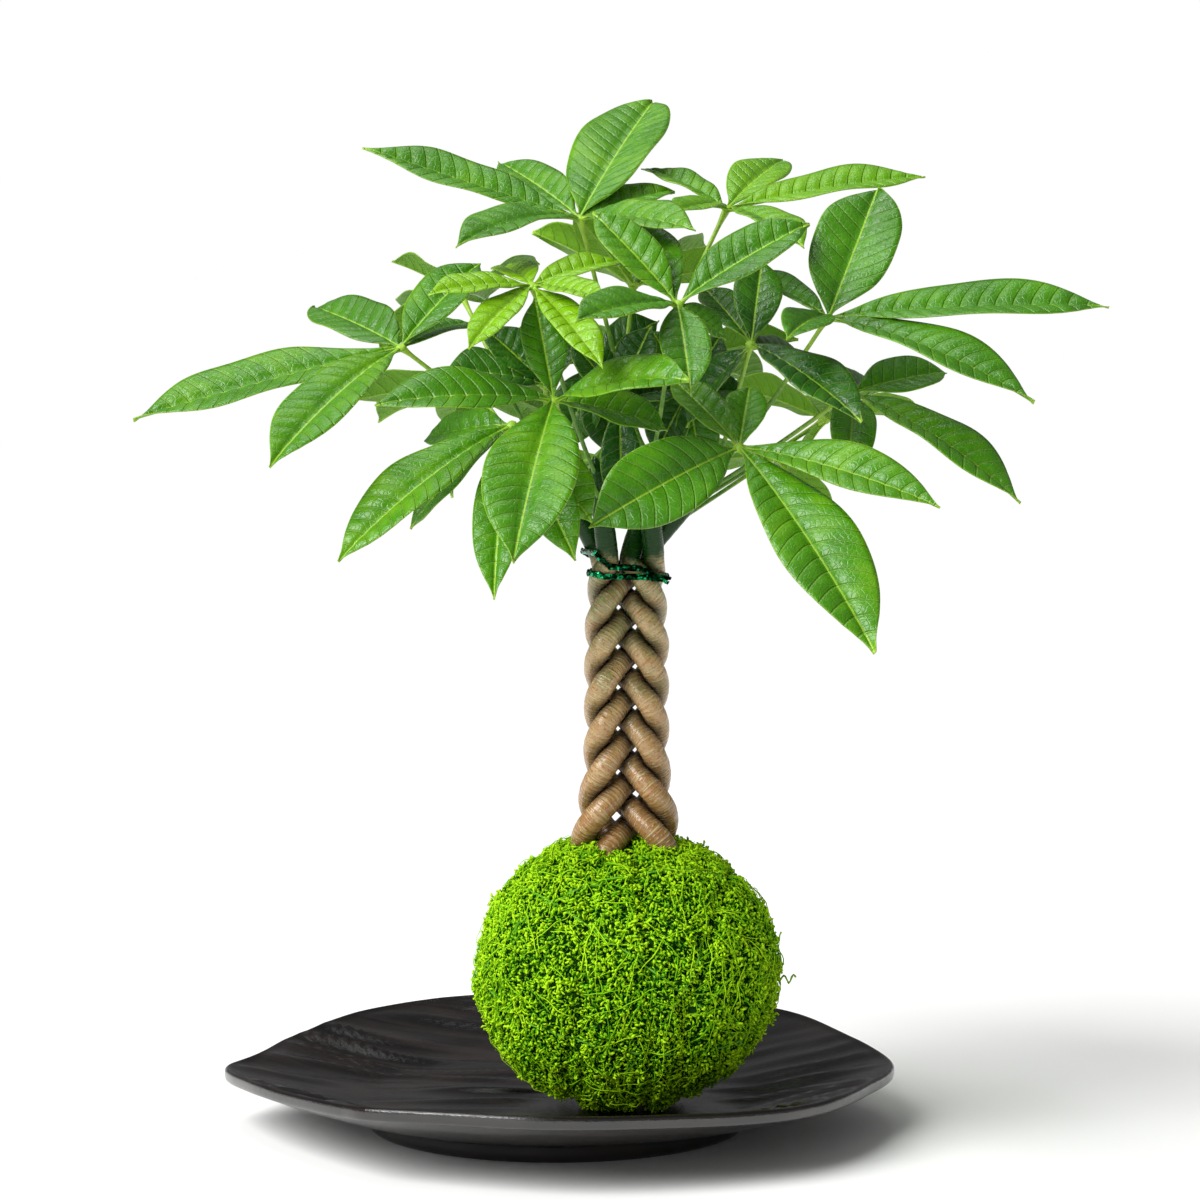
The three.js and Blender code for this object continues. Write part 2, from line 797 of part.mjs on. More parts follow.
const group = new THREE.Group();
group.name = 'potted_money_tree';

function add(name, geometry, look) {
  const mesh = new THREE.Mesh(geometry, new THREE.MeshStandardMaterial(LOOKS[look]));
  geometry.computeVertexNormals();
  mesh.name = name;
  group.add(mesh);
}

const stemNumbers = [...Array(STEMS).keys()];
const grownStems = stemNumbers.map((stem) => stemSolid(stem, CUT_GAP));
const stemsGrown = join(grownStems);

add('tray', mergeVertices(trayGeometry(), 1e-4), 'tray');
add('soil_ball', geometryOf(soilSolid(stemsGrown)), 'soil');
add('moss_cover', geometryOf(mossSolid()), 'moss');
add('binding_thread', geometryOf(threadSolid()), 'thread');
for (const stem of stemNumbers) {
  const earlier = grownStems.slice(0, stem);
  const cut = earlier.reduce((whole, other) => whole.subtract(other), stemSolid(stem, 0));
  add(`stem_${stem + 1}`, geometryOf(largestPart(cut)), 'bark');
}
add('wire_tie', geometryOf(tieSolid()), 'wire');
for (const [name, leaf] of Object.entries(LEAVES)) {
  const look = PALE_LEAVES.includes(name) ? 'youngLeaf' : 'leaf';
  add(name, geometryOf(leafSolid(leaf, stemsGrown)), look);
}

export default group;
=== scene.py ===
"""Potted money tree: five braided stems in a moss ball that stands on a footed tray.

Sizes in the tables are millimetres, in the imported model's frame: X to the right, Y away from the
front, Z up, and the tray's foot stands on Z = 0.
"""

import math
import random
from collections import namedtuple

import bpy
import numpy as np
from mathutils import Matrix, Vector, noise


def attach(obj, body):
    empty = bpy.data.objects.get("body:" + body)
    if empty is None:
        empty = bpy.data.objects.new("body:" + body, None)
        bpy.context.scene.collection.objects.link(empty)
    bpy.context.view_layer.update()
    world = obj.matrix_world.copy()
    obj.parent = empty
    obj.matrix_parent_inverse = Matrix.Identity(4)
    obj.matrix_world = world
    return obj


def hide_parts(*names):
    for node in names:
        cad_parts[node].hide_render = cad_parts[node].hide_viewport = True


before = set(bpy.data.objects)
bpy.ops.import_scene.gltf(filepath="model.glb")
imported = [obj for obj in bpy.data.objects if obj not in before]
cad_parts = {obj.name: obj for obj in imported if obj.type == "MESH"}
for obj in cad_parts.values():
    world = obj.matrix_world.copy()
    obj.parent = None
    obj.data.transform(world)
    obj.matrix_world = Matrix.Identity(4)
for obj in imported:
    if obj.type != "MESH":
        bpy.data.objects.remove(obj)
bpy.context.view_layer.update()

bl_info = {
    "name": "Potted Money Tree",
    "version": (1, 0, 0),
    "blender": (4, 5, 0),
    "location": "View3D > Sidebar > Money Tree",
    "description": "Builds a braided money tree in a moss ball on a black tray",
    "category": "Add Mesh",
}

MM = 0.001
TURN = 2 * math.pi
MOSS_SEED, TIE_SEED, LEAF_SEED = 11, 5, 23

# Tray. The uneven rim: direction in degrees, distance from the middle, and height.
RIM = [
    (0, 132.5, 24), (22, 128, 26.5), (45, 133, 29), (72, 134.5, 30), (100, 135, 30),
    (126, 133.5, 27.5), (150, 125, 24.5), (167, 123.5, 23), (180, 131, 22.5), (198, 124, 24.5),
    (216, 122, 26), (232, 127, 27.8), (242, 129.8, 29.2), (270, 133, 30), (300, 134, 28),
    (318, 133, 26.5), (338, 128, 25),
]
RIM_STEPS = 720
RIM_REACH, RIM_HEIGHT = 130, 27  # of the even rim, before it is drawn out
FLOOR_RADIUS, FLOOR_HEIGHT = 78, 12
DISH_CURVE = 1.2
WALL = 4.4
FOOT_RADIUS = 75
HOLLOW = 1.1  # height of the foot's hollow underside
MIDDLE = 0.01  # radius where the spun section starts and ends
SPIN_STEPS = 240
INSIDE_MARGIN = 1.2  # how far below the dish's surface a point still counts as inside it
UNEVENNESS = 0.25
FACING_UP = 0.3  # faces that point up more than this have the inside's glaze
# The section round the rim as offsets from it, and down the foot as offset and height.
RIM_SECTION = [
    (-2.0, -0.35), (-1.3, 0), (-0.6, -0.25), (-0.1, -0.9), (0, -2), (-0.1, -3.4), (-0.4, -4.5),
    (-1.0, -5), (-2.2, -5.1),
]
FOOT_SECTION = [
    (1.2, 7.5), (0.3, 6.9), (0, 6.0), (-0.15, 4.2), (-0.3, 2.4), (-0.7, 1.2), (-1.6, 0.35),
    (-3, 0), (-9, 0), (-11, 0.6), (-14, 1.0), (-45, HOLLOW),
]

# Moss ball
BALL_CENTRE = Vector((27.5, -25, 65))
BALL_RADII = Vector((60, 60, 55.5))
BALL_POWER = 2.16  # 2 would be an ellipsoid, and more is squarer
RESTING_HEIGHT = 12.3
SPRIG_ROOM = 2.6  # how far the ball lies inside the moss cover, so that its sprigs fit
# Where the ball swells or is flattened: direction, how far, and how wide in radians.
BALL_SWELLS = [
    ((-0.8, -0.1, 0.6), -2.0, 0.45), ((0.74, -0.1, 0.6), -1.8, 0.5), ((0, -0.3, 1), -5.0, 0.34),
    ((0.7, -0.1, -0.72), -3.4, 0.5), ((-0.75, -0.1, -0.6), -1.0, 0.4), ((0.1, 0.9, 0.2), -1.5, 0.5),
]
# Upright folds in the moss: the direction across each, and how far off the ball's middle it lies.
BALL_FOLDS = [
    ((1, 0.2, 0.1), -0.5), ((1, -0.1, -0.15), -0.24), ((1, 0.1, 0.05), 0.02), ((1, 0, 0.3), 0.3),
    ((1, -0.2, -0.2), 0.58), ((0.2, 1, 0.1), 0.3), ((-0.1, 1, -0.15), -0.1),
]
FOLD_DEPTH, FOLD_WIDTH = 2.6, 0.035
CLUMPING = 17  # how often the moss clumps, for each radian
CLUMP_HEIGHT = 1.7
MOSS_PIECES = 6  # each of them stays under 200,000 triangles
SPRIG_SHAPES = 9
SPRIG_CLEARANCE = 0.8  # from the surface that the ball rests on
FLATTENED_HEIGHT = 20  # below this the sprigs are shorter and flatter, as the ball rests on them
STRANDS_FROM, STRANDS_TO = 22, 0.9  # lowest height of a strand, and how nearly on top it may lie
STRAND_STEP, STRAND_ORBIT = 1.3, 58  # the step along a strand, and the ball's radius under it
# Long curled sprigs that stand out from the ball: their X and Z, length, and lean to the front.
STRAYS = [(88, 62, 9, 0.3), (87, 79, 5, 0.8), (-32, 80, 4, 0.7), (84, 45, 4, 0.1)]
STRAY_STEPS = 15
THREAD_LOOPS = [(24, 20), (38, 110), (50, 200), (60, 290)]  # tilt and direction, in degrees
THREAD_RADIUS = 0.45
THREAD_STEPS = 150

# Braid of five stems about a vertical axis through the ball
AXIS = Vector((27, -25, 0))
STEMS = 5
ROOTED_DEPTH = 88
BURIED_HEIGHT = 96  # below this the stems are inside the ball
BRAID_BASE, BRAID_TOP = 122, 222
STRAIGHTENING = 28
TOP_NARROWS = 190
BRAID_WIDTH, TOP_WIDTH, BASE_WIDTH = 12, 10.6, 17.5
BRAID_DEPTH, BASE_DEPTH = 7.2, 9
SPREAD_BOTTOM, SPREAD_TOP = 104, 150
FIRST_CROSSING = 137.5
CROSSINGS_PER_MM = 0.059
TIGHTENING = 0.00006
STEM_RADIUS_LOW, STEM_RADIUS_HIGH, SHOOT_RADIUS = 5.0, 4.0, 2.6
STEM_HIGH = 240
SHOOTS_FROM, SHOOTS_FULL = 235, 275
LEAVING = 0.08
STEM_SIDES = 32
RING_STEP = 0.95
PRESS_GAP = 0.05
NEIGHBOUR_REACH, NEIGHBOUR_CLIMB = 14, 10  # how far away another stem can press on one
ROUNDED_RINGS = 6  # at a stem's top
CREVICE_REACH = 5.6  # how far from its neighbour a stem's bark starts to darken with grime and painted shade
STEM_TOPS = [
    Vector((64, -22, 260)), Vector((15, -40, 264)), Vector((-7, -20, 268)), Vector((46, -4, 274)),
    Vector((34, -44, 266)),
]

# Wire tie: each turn's middle height, its drop from left to right, and how proud it stands; then
# each twisted end's direction in degrees, turn, how proud it starts, its last point and its bow.
TIE_TURNS = [(221.5, 10, 1.1), (217.2, 2.4, 0.75)]
TIE_ENDS = [
    (-60, 0, 1.8, (43.5, -37, 216.6), (2, -1, -2)),
    (-66, 1, 1.9, (42.6, -38.5, 214.9), (3, -2, 0)),
]
TIE_STEPS, END_STEPS = 110, 15
BAND_SIDES = 8
BAND_DEPTH = 0.62
END_WIDTH = 0.62  # of a twisted end, as a share of the band's

# Leaflets: stations along a blade, from its stalk to its tip, as shares of length and half width.
POINTED = [
    (0, 0.05), (0.035, 0.06), (0.09, 0.17), (0.17, 0.42), (0.27, 0.68), (0.38, 0.88), (0.5, 0.985),
    (0.6, 1), (0.7, 0.93), (0.79, 0.76), (0.87, 0.5), (0.92, 0.29), (0.96, 0.12), (1, 0.0),
]
ROUNDED = [
    (0, 0.05), (0.035, 0.08), (0.09, 0.27), (0.17, 0.56), (0.28, 0.82), (0.42, 0.97), (0.56, 1),
    (0.7, 0.95), (0.81, 0.8), (0.89, 0.58), (0.95, 0.31), (0.98, 0.15), (1, 0.0),
]
BLUNT_LEAFLETS = {("leaf_left", 2), ("leaf_top_left", 3), ("leaf_right", 0), ("leaf_low_right", 2)}
ROLLED_LEAFLETS = {("leaf_low_front", 0): -20}  # degrees about the leaflet's own length
FOLD = math.radians(17)  # how far each half of a leaflet rises from its midrib
BLADE_COLUMNS = 14
BLADE_ROW, FEWEST_ROWS, MOST_ROWS = 0.95, 44, 112
OUTLINE_STEPS = 60
NARROWEST = 0.12  # half width of a blade at its tip
VEIN_SPACING, FEWEST_VEINS, MOST_VEINS = 5.6, 9, 17
RIB_STEPS, RIB_SIDES = 31, 7
STALK_STEPS, STALK_SIDES = 45, 10
HUB_RADIUS = 2.15
Leaf = namedtuple("Leaf", "stem below hub face tone leaflets")
# Every leaf: its stem, how far below that stem's top it grows, the point its leaflets spread from,
# the way its upper side looks, how pale it is, from 0 for the oldest green to 1 for a new leaf, and
# for each leaflet the offset of its tip, its width, and its arch as a share of its length. The
# leaves deep in the crown have the lowest paleness, as painted shade.
LEAVES = {
    "leaf_left": (2, 3, (-58, -50, 304), (-0.1, -0.55, 0.8), 0.34, [
        (-97, -25, -27, 28, 0.01), (-43, -65, -44, 27, 0.045), (-35, 40, 16, 26, 0.03),
        (29, 30, 33, 24, 0.03), (25, 50, 10, 24, 0.03),
    ]),
    "leaf_young": (1, 10, (-8, -80, 326), (0, -0.45, 0.85), 0.86, [
        (-37, -20, -4, 16, 0.035), (-22, -35, -24, 15, 0.035), (26, -45, -31, 16, 0.035),
        (26, -25, -6, 15, 0.035), (34, 30, 10, 18, 0.03), (-12, 35, 8, 17, 0.03),
    ]),
    "leaf_top_left": (4, 2, (9, -30, 353.5), (-0.1, -0.5, 0.85), 0.36, [
        (-83, 10, 27.5, 23, -0.005), (-45, -50, -13.5, 24, 0.06), (-32, 50, 24.5, 21, 0.03),
        (29, 80, 51, 34, 0.02), (37, 30, 12, 20, 0.03), (43, -40, -7, 22, 0.045),
    ]),
    "leaf_top_right": (1, 2, (66, -10, 358.5), (0.1, -0.35, 0.9), 0.5, [
        (78, 20, 13.5, 26, 0.01), (24, 50, 22, 22, 0.03), (-33, 25, 17, 19, 0.03),
        (-22, -35, -4.5, 17, 0.045), (27, -45, -17.5, 21, 0.045),
    ]),
    "leaf_right": (0, 1, (102, -55, 315), (0.1, -0.5, 0.85), 0.3, [
        (21, 36, 50, 33, -0.01), (104, -5, 4, 28, 0.02), (72, -40, -32, 27, 0.05),
        (-18, -46, -9, 18, 0.055), (-34, 60, 20, 18, 0.03),
    ]),
    "leaf_centre": (4, 12, (45, -85, 319), (0, -0.6, 0.8), 0.3, [
        (-17, 45, 32, 22, 0.03), (-31, 18, 34, 20, 0.03), (49, 15, 30, 24, 0.035),
        (-37, -45, -8, 22, 0.045), (4, -40, -33, 19, 0.05), (18, 5, -13, 14, 0.035),
    ]),
    # This leaf sits in the shade of the others, and its low paleness is painted shade.
    "leaf_dark": (0, 4, (73, -60, 305), (0.1, -0.5, 0.85), 0.1, [
        (-17, 30, 22, 18, 0.03), (5, 22, 32, 19, 0.03), (28, 44, -8, 20, 0.035),
        (38, -40, -29, 25, 0.045), (-24, 12, -31, 20, 0.045),
    ]),
    "leaf_front": (1, 18, (0, -95, 284), (0, -0.6, 0.8), 0.36, [
        (-63, -25, -2, 26, 0.045), (-7, 8, 37, 17, 0.03), (48, -35, 7, 26, 0.05),
        (42, 12, -11, 24, 0.045), (-13, -65, -56, 34, 0.045),
    ]),
    "leaf_low_left": (2, 12, (-16, -70, 275), (-0.2, -0.6, 0.75), 0.36, [
        (-61, -40, -49, 27, 0.055), (-38, 10, -39, 18, 0.055), (-5, -50, -62, 19, 0.04),
        (-34, 30, -6, 20, 0.035), (24, -30, -49, 20, 0.055), (30, -6, -36, 22, 0.045),
    ]),
    "leaf_low_front": (4, 20, (67, -100, 267), (0.1, -0.65, 0.75), 0.36, [
        (-54, -35, -28, 31, 0.055), (44, -65, -70, 33, 0.045), (69, -35, -21, 25, 0.045),
        (-24, 30, 25, 17, 0.03), (5, 30, 22, 16, 0.03),
    ]),
    "leaf_low_right": (0, 14, (112, -38, 287), (0.25, -0.55, 0.8), 0.3, [
        (60, -35, -41, 25, 0.055), (38, 18, 8, 22, 0.035), (-4, -38, -29, 18, 0.055),
        (10, 50, 5, 22, 0.035), (-24, 32, 8, 18, 0.035),
    ]),
    # The four inner leaves have the lowest paleness: painted shade deep in the crown.
    "leaf_inner_left": (2, 6, (-4, -36, 290), (0, -0.6, 0.8), 0.08, [
        (-38, -16, 4, 24, 0.06), (-24, 6, 22, 20, 0.03), (-6, 14, 26, 18, 0.03),
        (12, -2, 24, 18, 0.03),
    ]),
    "leaf_inner": (1, 6, (24, -50, 284), (0, -0.6, 0.8), 0.02, [
        (1, -8, -42, 16, 0.05), (-18, 4, 22, 18, 0.035), (12, 2, 28, 17, 0.035),
        (22, 6, 4, 18, 0.035),
    ]),
    "leaf_inner_right": (0, 10, (50, -32, 287), (0.05, -0.6, 0.8), 0.08, [
        (-12, -4, -24, 18, 0.045), (5, -2, -29, 18, 0.045), (-14, 0, 24, 18, 0.035),
        (13, 5, 22, 18, 0.035), (23, 7, 0, 17, 0.04),
    ]),
    "leaf_inner_back": (3, 8, (16, 18, 300), (0, -0.7, 0.7), 0.02, [
        (-14, -8, -36, 22, 0.035), (6, -10, -38, 22, 0.035), (26, -2, -24, 20, 0.035),
        (-30, 2, 6, 22, 0.035), (24, 4, 16, 20, 0.035),
    ]),
    "leaf_pale_right": (0, 18, (106, 24, 277), (0.2, 0.5, 0.8), 0.55, [
        (-38, 12, 14, 22, 0.035), (-12, 52, 10, 24, 0.035), (34, 46, 14, 24, 0.035),
        (40, 16, 3, 20, 0.045), (-18, -22, -34, 18, 0.045),
    ]),
    "leaf_pale_back": (1, 26, (30, 20, 330), (0, 0.6, 0.8), 0.66, [
        (-40, 22, 22, 24, 0.035), (-12, 58, 24, 26, 0.035), (30, 50, 18, 26, 0.035),
        (44, 10, 8, 22, 0.035), (-24, -14, 28, 18, 0.035),
    ]),
    "leaf_back_left": (2, 20, (-38, 22, 326), (-0.2, 0.3, 0.9), 0.4, [
        (-28, 10, 14, 24, 0.035), (-34, 20, -22, 24, 0.035), (-24, 62, -6, 26, 0.035),
        (8, 66, 0, 26, 0.035), (30, 36, 14, 22, 0.035),
    ]),
    "leaf_rear_low_left": (2, 30, (-34, 44, 290), (-0.3, 0.5, 0.8), 0.34, [
        (-52, 8, -6, 24, 0.045), (-42, 56, -14, 28, 0.045), (-4, 76, -20, 28, 0.045),
        (36, 50, -14, 24, 0.045), (-8, -24, -44, 20, 0.045),
    ]),
    "leaf_rear": (3, 18, (44, 62, 300), (0, 0.5, 0.85), 0.26, [
        (-40, 36, 10, 24, 0.035), (-10, 76, -14, 30, 0.045), (42, 56, -8, 28, 0.045),
        (54, 8, 10, 24, 0.035), (4, 0, -38, 20, 0.045),
    ]),
    "leaf_rear_right": (0, 26, (88, 58, 262), (0.3, 0.5, 0.8), 0.34, [
        (48, 26, -12, 22, 0.045), (44, 54, -8, 28, 0.045), (-2, 70, -18, 26, 0.045),
        (-42, 34, -6, 22, 0.045), (22, 12, -32, 20, 0.045),
    ]),
    "leaf_rear_low": (3, 26, (18, 40, 262), (-0.1, 0.6, 0.8), 0.3, [
        (-50, 16, -14, 24, 0.045), (-34, 58, -18, 28, 0.045), (16, 64, -20, 28, 0.045),
        (44, 28, -14, 24, 0.045),
    ]),
}

# Camera and lights, in metres
CAMERA_PLACE, CAMERA_TILT = (0.0168, -1.3282, 0.2760), math.radians(87)
FLOOR_SIZE = 40
KEY_PLACE, KEY_DIRECTION = (-1.2, -1.6, 1.9), (0.7, 0.55, -0.8)
# The two softboxes: size, place and target.
FILL_LIGHT = 1.4, (-1.0, -1.7, 0.5), (0.02, -0.02, 0.15)
OVERHEAD_LIGHT = 0.9, (-0.15, 0.2, 1.45), (0.02, -0.03, 0.2)


def colour(code):
    """Linear colour of an sRGB hex value."""
    channels = [int(code[i:i + 2], 16) / 255 for i in (0, 2, 4)]
    return tuple(c / 12.92 if c <= 0.04045 else ((c + 0.055) / 1.055) ** 2.4 for c in channels)


def mix(low, high, share):
    return low + (high - low) * share


def smooth(low, high, value):
    share = min(max((value - low) / (high - low), 0), 1)
    return share * share * (3 - 2 * share)


def fill(tree, node, inputs):
    """Gives a node's inputs, by name or in order, values or other nodes' outputs."""
    for place, value in inputs.items() if isinstance(inputs, dict) else enumerate(inputs):
        socket = node.inputs[place]
        if isinstance(value, bpy.types.NodeSocket):
            tree.links.new(value, socket)
        else:
            socket.default_value = (*value, 1) if socket.type == "RGBA" else value


def add_node(tree, kind, inputs=(), stops=(), **settings):
    """Adds a node with its settings, inputs and colour stops, and returns its outputs."""
    node = tree.nodes.new("ShaderNode" + kind)
    for name, value in settings.items():
        setattr(node, name, value)
    fill(tree, node, inputs)
    for i, (position, tint) in enumerate(stops):
        elements = node.color_ramp.elements
        element = elements[i] if i < 2 else elements.new(position)
        element.position = position
        element.color = (*tint, 1)
    return node.outputs


def new_material(name):
    """An empty material, with its node tree and its Principled shader."""
    material = bpy.data.materials.new(name)
    material.use_nodes = True
    return material, material.node_tree, material.node_tree.nodes["Principled BSDF"]


def deselect_all():
    bpy.ops.object.select_all(action="DESELECT")


def join(name, pieces):
    """Joins pieces into one, named for the whole."""
    deselect_all()
    for piece in pieces:
        piece.select_set(True)
    bpy.context.view_layer.objects.active = pieces[0]
    bpy.ops.object.join()
    pieces[0].name = pieces[0].data.name = name
    return pieces[0]


def settle(piece, node):
    """Makes a finished piece part of the model, in place of its CAD node."""
    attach(piece, "root")
    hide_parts(node)


def add_layer(mesh, label, values):
    """A vector attribute on a mesh's points."""
    layer = mesh.attributes.new(label, "FLOAT_VECTOR", "POINT")
    layer.data.foreach_set("vector", np.asarray(values, np.float32).ravel())


def mesh_piece(name, points, faces, material, **layers):
    """A smooth piece from points in millimetres, with vector attributes on its points."""
    points = np.asarray(points, np.float64)
    sizes = np.array([len(face) for face in faces])
    mesh = bpy.data.meshes.new(name)
    mesh.vertices.add(len(points))
    mesh.vertices.foreach_set("co", (points * MM).ravel())
    mesh.loops.add(int(sizes.sum()))
    mesh.loops.foreach_set("vertex_index", np.concatenate([np.asarray(face) for face in faces]))
    mesh.polygons.add(len(sizes))
    mesh.polygons.foreach_set("loop_start", np.concatenate([[0], np.cumsum(sizes)[:-1]]))
    mesh.polygons.foreach_set("use_smooth", np.ones(len(sizes), bool))
    mesh.materials.append(material)
    for label, values in layers.items():
        add_layer(mesh, label, values)
    mesh.update(calc_edges=True)
    mesh.validate()
    piece = bpy.data.objects.new(name, mesh)
    bpy.context.scene.collection.objects.link(piece)
    return piece


def ring_faces(count, sides, closed=False, start=0):
    """Faces between rings of points: a tube with its ends closed, or one that joins up."""
    faces = []
    for i in range(count if closed else count - 1):
        here, following = start + i * sides, start + ((i + 1) % count) * sides
        for j in range(sides):
            k = (j + 1) % sides
            faces.append((here + j, here + k, following + k, following + j))
    if not closed:
        faces.append(tuple(start + j for j in reversed(range(sides))))
        faces.append(tuple(start + (count - 1) * sides + j for j in range(sides)))
    return faces


def headings(path, closed):
    """The direction of a path at each of its points."""
    count = len(path)
    for i in range(count):
        before = path[i - 1] if closed or i else path[0]
        after = path[(i + 1) % count] if closed else path[min(i + 1, count - 1)]
        yield (after - before).normalized()


def add_tube(points, faces, path, radii, sides, closed=False):
    """Adds a tube round a path, without twist, and returns how many points it has."""
    faces += ring_faces(len(path), sides, closed, len(points))
    side = None
    for centre, radius, along in zip(path, radii, headings(path, closed)):
        if side is None:
            side = along.orthogonal().normalized()
        side = (side - along * side.dot(along)).normalized()
        other = along.cross(side)
        for j in range(sides):
            angle = TURN * j / sides
            points.append(centre + (side * math.cos(angle) + other * math.sin(angle)) * radius)
    return len(path) * sides


def catmull_rom(values, share, closed=False):
    """The point of a smooth line through evenly numbered values."""
    count = len(values)
    place = min(max(share, 0), 1 - 1e-9) * (count if closed else count - 1)
    i = int(place)
    t = place - i
    near = [(i + k) % count if closed else min(max(i + k, 0), count - 1) for k in (-1, 0, 1, 2)]
    a, b, c, d = [Vector(values[n]) for n in near]
    bend = (2 * a - 5 * b + 4 * c - d) * t * t + (3 * b - a - 3 * c + d) * t ** 3
    return 0.5 * ((2 * b) + (c - a) * t + bend)


# Braid and ball ---------------------------------------------------------------------------------


def turns_at(height):
    """How many crossings the braid has made at a height, which slow down as the stems spread."""
    under = min(max(BRAID_BASE - height, 0), STRAIGHTENING)
    eased = max(height, BRAID_BASE - STRAIGHTENING) + under * under / (2 * STRAIGHTENING)
    above = eased - FIRST_CROSSING
    return CROSSINGS_PER_MM * above + TIGHTENING * above * above


def braid_point(stem, height):
    """The middle of a stem in the braid: every stem draws the same figure of eight as it climbs."""
    spread = 1 - smooth(SPREAD_BOTTOM, SPREAD_TOP, height)
    phase = TURN * (turns_at(min(height, BRAID_TOP)) - stem) / STEMS
    upper = mix(BRAID_WIDTH, TOP_WIDTH, smooth(TOP_NARROWS, BRAID_TOP, height))
    wide = mix(upper, BASE_WIDTH, spread)
    deep = mix(BRAID_DEPTH, BASE_DEPTH, spread)
    return Vector((wide * math.sin(phase), deep * math.sin(2 * phase), height)) + AXIS


def stem_point(stem, height):
    """The middle of a stem at a height: in the braid, and above it on the way to the stem's top."""
    top = STEM_TOPS[stem]
    point = braid_point(stem, height)
    share = max(0, (height - BRAID_TOP) / (top.z - BRAID_TOP))
    leave = (1 + LEAVING) * share * share / (share + LEAVING)
    point.x = mix(point.x, top.x, leave)
    point.y = mix(point.y, top.y, leave)
    return point


def stem_radius(height):
    share = (height - ROOTED_DEPTH) / (STEM_HIGH - ROOTED_DEPTH)
    radius = mix(STEM_RADIUS_LOW, STEM_RADIUS_HIGH, share)
    return mix(radius, SHOOT_RADIUS, smooth(SHOOTS_FROM, SHOOTS_FULL, height))


def near_stem(point, clearance):
    """True if a point in millimetres is inside a stem or too near it."""
    if point.z < BURIED_HEIGHT:
        return False
    reach = stem_radius(point.z) + clearance
    middles = [stem_point(stem, point.z) for stem in range(STEMS)]
    return any(math.hypot(point.x - middle.x, point.y - middle.y) < reach for middle in middles)


def ball_reach(direction):
    """Distance from the ball's middle to its surface in one direction, with its swells."""
    d = Vector(direction).normalized()
    body = sum((abs(d[i]) / BALL_RADII[i]) ** BALL_POWER for i in range(3)) ** (-1 / BALL_POWER)
    for towards, amount, width in BALL_SWELLS:
        apart = d.angle(Vector(towards).normalized())
        body += amount * math.exp(-(apart / width) ** 2)
    return body - SPRIG_ROOM


def ball_surface(direction, lift=0.0):
    """A point on the moss, which is lumpy and drawn in along its folds."""
    d = Vector(direction).normalized()
    reach = ball_reach(d)
    for across, offset in BALL_FOLDS:
        apart = d.dot(Vector(across).normalized()) - offset + 0.03 * noise.noise(d * 6)
        reach -= FOLD_DEPTH * math.exp(-(apart / FOLD_WIDTH) ** 2)
    lumps = 1.5 * noise.noise(d * 5.1) + 1.0 * noise.noise(d * 11.3 + Vector((7, 1, 3)))
    point = BALL_CENTRE + d * (reach + lumps + lift)
    point.z = max(point.z, RESTING_HEIGHT)
    return point


# Settings ---------------------------------------------------------------------------------------


def colour_setting(name, description, code):
    return bpy.props.FloatVectorProperty(
        name=name, description=description, subtype="COLOR", size=3, min=0, max=1,
        default=colour(code),
    )


def length_setting(name, description, millimetres):
    return bpy.props.FloatProperty(
        name=name, description=description, unit="LENGTH", min=0, precision=5,
        default=millimetres * MM,
    )


def number_setting(name, description, default, **more):
    return bpy.props.FloatProperty(name=name, description=description, default=default, **more)


class TraySettings(bpy.types.PropertyGroup):
    glaze: colour_setting("Glaze", "Colour of the glaze where it is thick", "070505")
    thin_glaze: colour_setting("Thin glaze", "Colour of the glaze on ridges and edges", "221a17")
    ridge_height: length_setting("Ridge height", "Height of the ridges across the dish", 1.5)
    ridge_spacing: length_setting("Ridge spacing", "Distance from one ridge to the next", 19)


class MossSettings(bpy.types.PropertyGroup):
    tips: colour_setting("Tips", "Colour of the ends of the sprigs", "acdc16")
    middle: colour_setting("Middle", "Colour half way down the sprigs", "5ca806")
    # The colour deep in the moss, at the sprigs' bases and on the ball under them, is partly the
    # moss's own and partly painted shade.
    roots: colour_setting("Roots", "Colour deep in the moss", "174402")
    thread: colour_setting("Thread", "Colour of the binding thread", "4f8a10")
    soil: colour_setting("Soil", "Colour of the soil inside the moss", "33241a")
    sprig_height: length_setting("Sprig height", "Height of one sprig", 2.5)
    sprigs: bpy.props.IntProperty(
        name="Sprigs", description="Number of sprigs", min=100, default=13600
    )
    strands: bpy.props.IntProperty(
        name="Strands", description="Number of loose strands", min=1, default=900
    )


class StemSettings(bpy.types.PropertyGroup):
    bark: colour_setting("Bark", "Colour of the bark on the braid", "cba876")
    old_bark: colour_setting("Old bark", "Colour of the bark near the moss", "976b38")
    green_bark: colour_setting("Green bark", "Colour of the greener patches of bark", "888c58")
    rings: colour_setting("Rings", "Colour of the raised rings", "c06a36")
    shoots: colour_setting("Shoots", "Colour of the stems above the tie", "113a0a")
    wrinkle_height: length_setting("Wrinkles", "Height of the wrinkles round each stem", 0.14)


class TieSettings(bpy.types.PropertyGroup):
    foil: colour_setting("Foil", "Colour of the foil round the wire", "054a29")
    band: length_setting("Band", "Width of the flattened foil", 2.6)


class LeafSettings(bpy.types.PropertyGroup):
    # The darkest leaves are partly the oldest and partly the inner ones, darkened as painted shade.
    oldest_and_shaded: colour_setting("Oldest leaves", "Colour of the darkest leaves", "124808")
    mature: colour_setting("Mature leaves", "Colour of most leaves", "417f06")
    pale: colour_setting("Pale leaves", "Colour of young leaves", "70a606")
    newest: colour_setting("Newest leaves", "Colour of leaves that have just opened", "7aae0e")
    ribs: colour_setting("Ribs", "Colour of the midribs", "a0c63a")
    undersides: colour_setting("Undersides", "Colour of the undersides", "62962f")
    stalks: colour_setting("Stalks", "Colour of the long stalks", "3f7416")
    thickness: length_setting("Thickness", "Thickness of a leaflet", 0.35)
    quilting: length_setting("Quilting", "Height of the bulges between veins", 0.75)


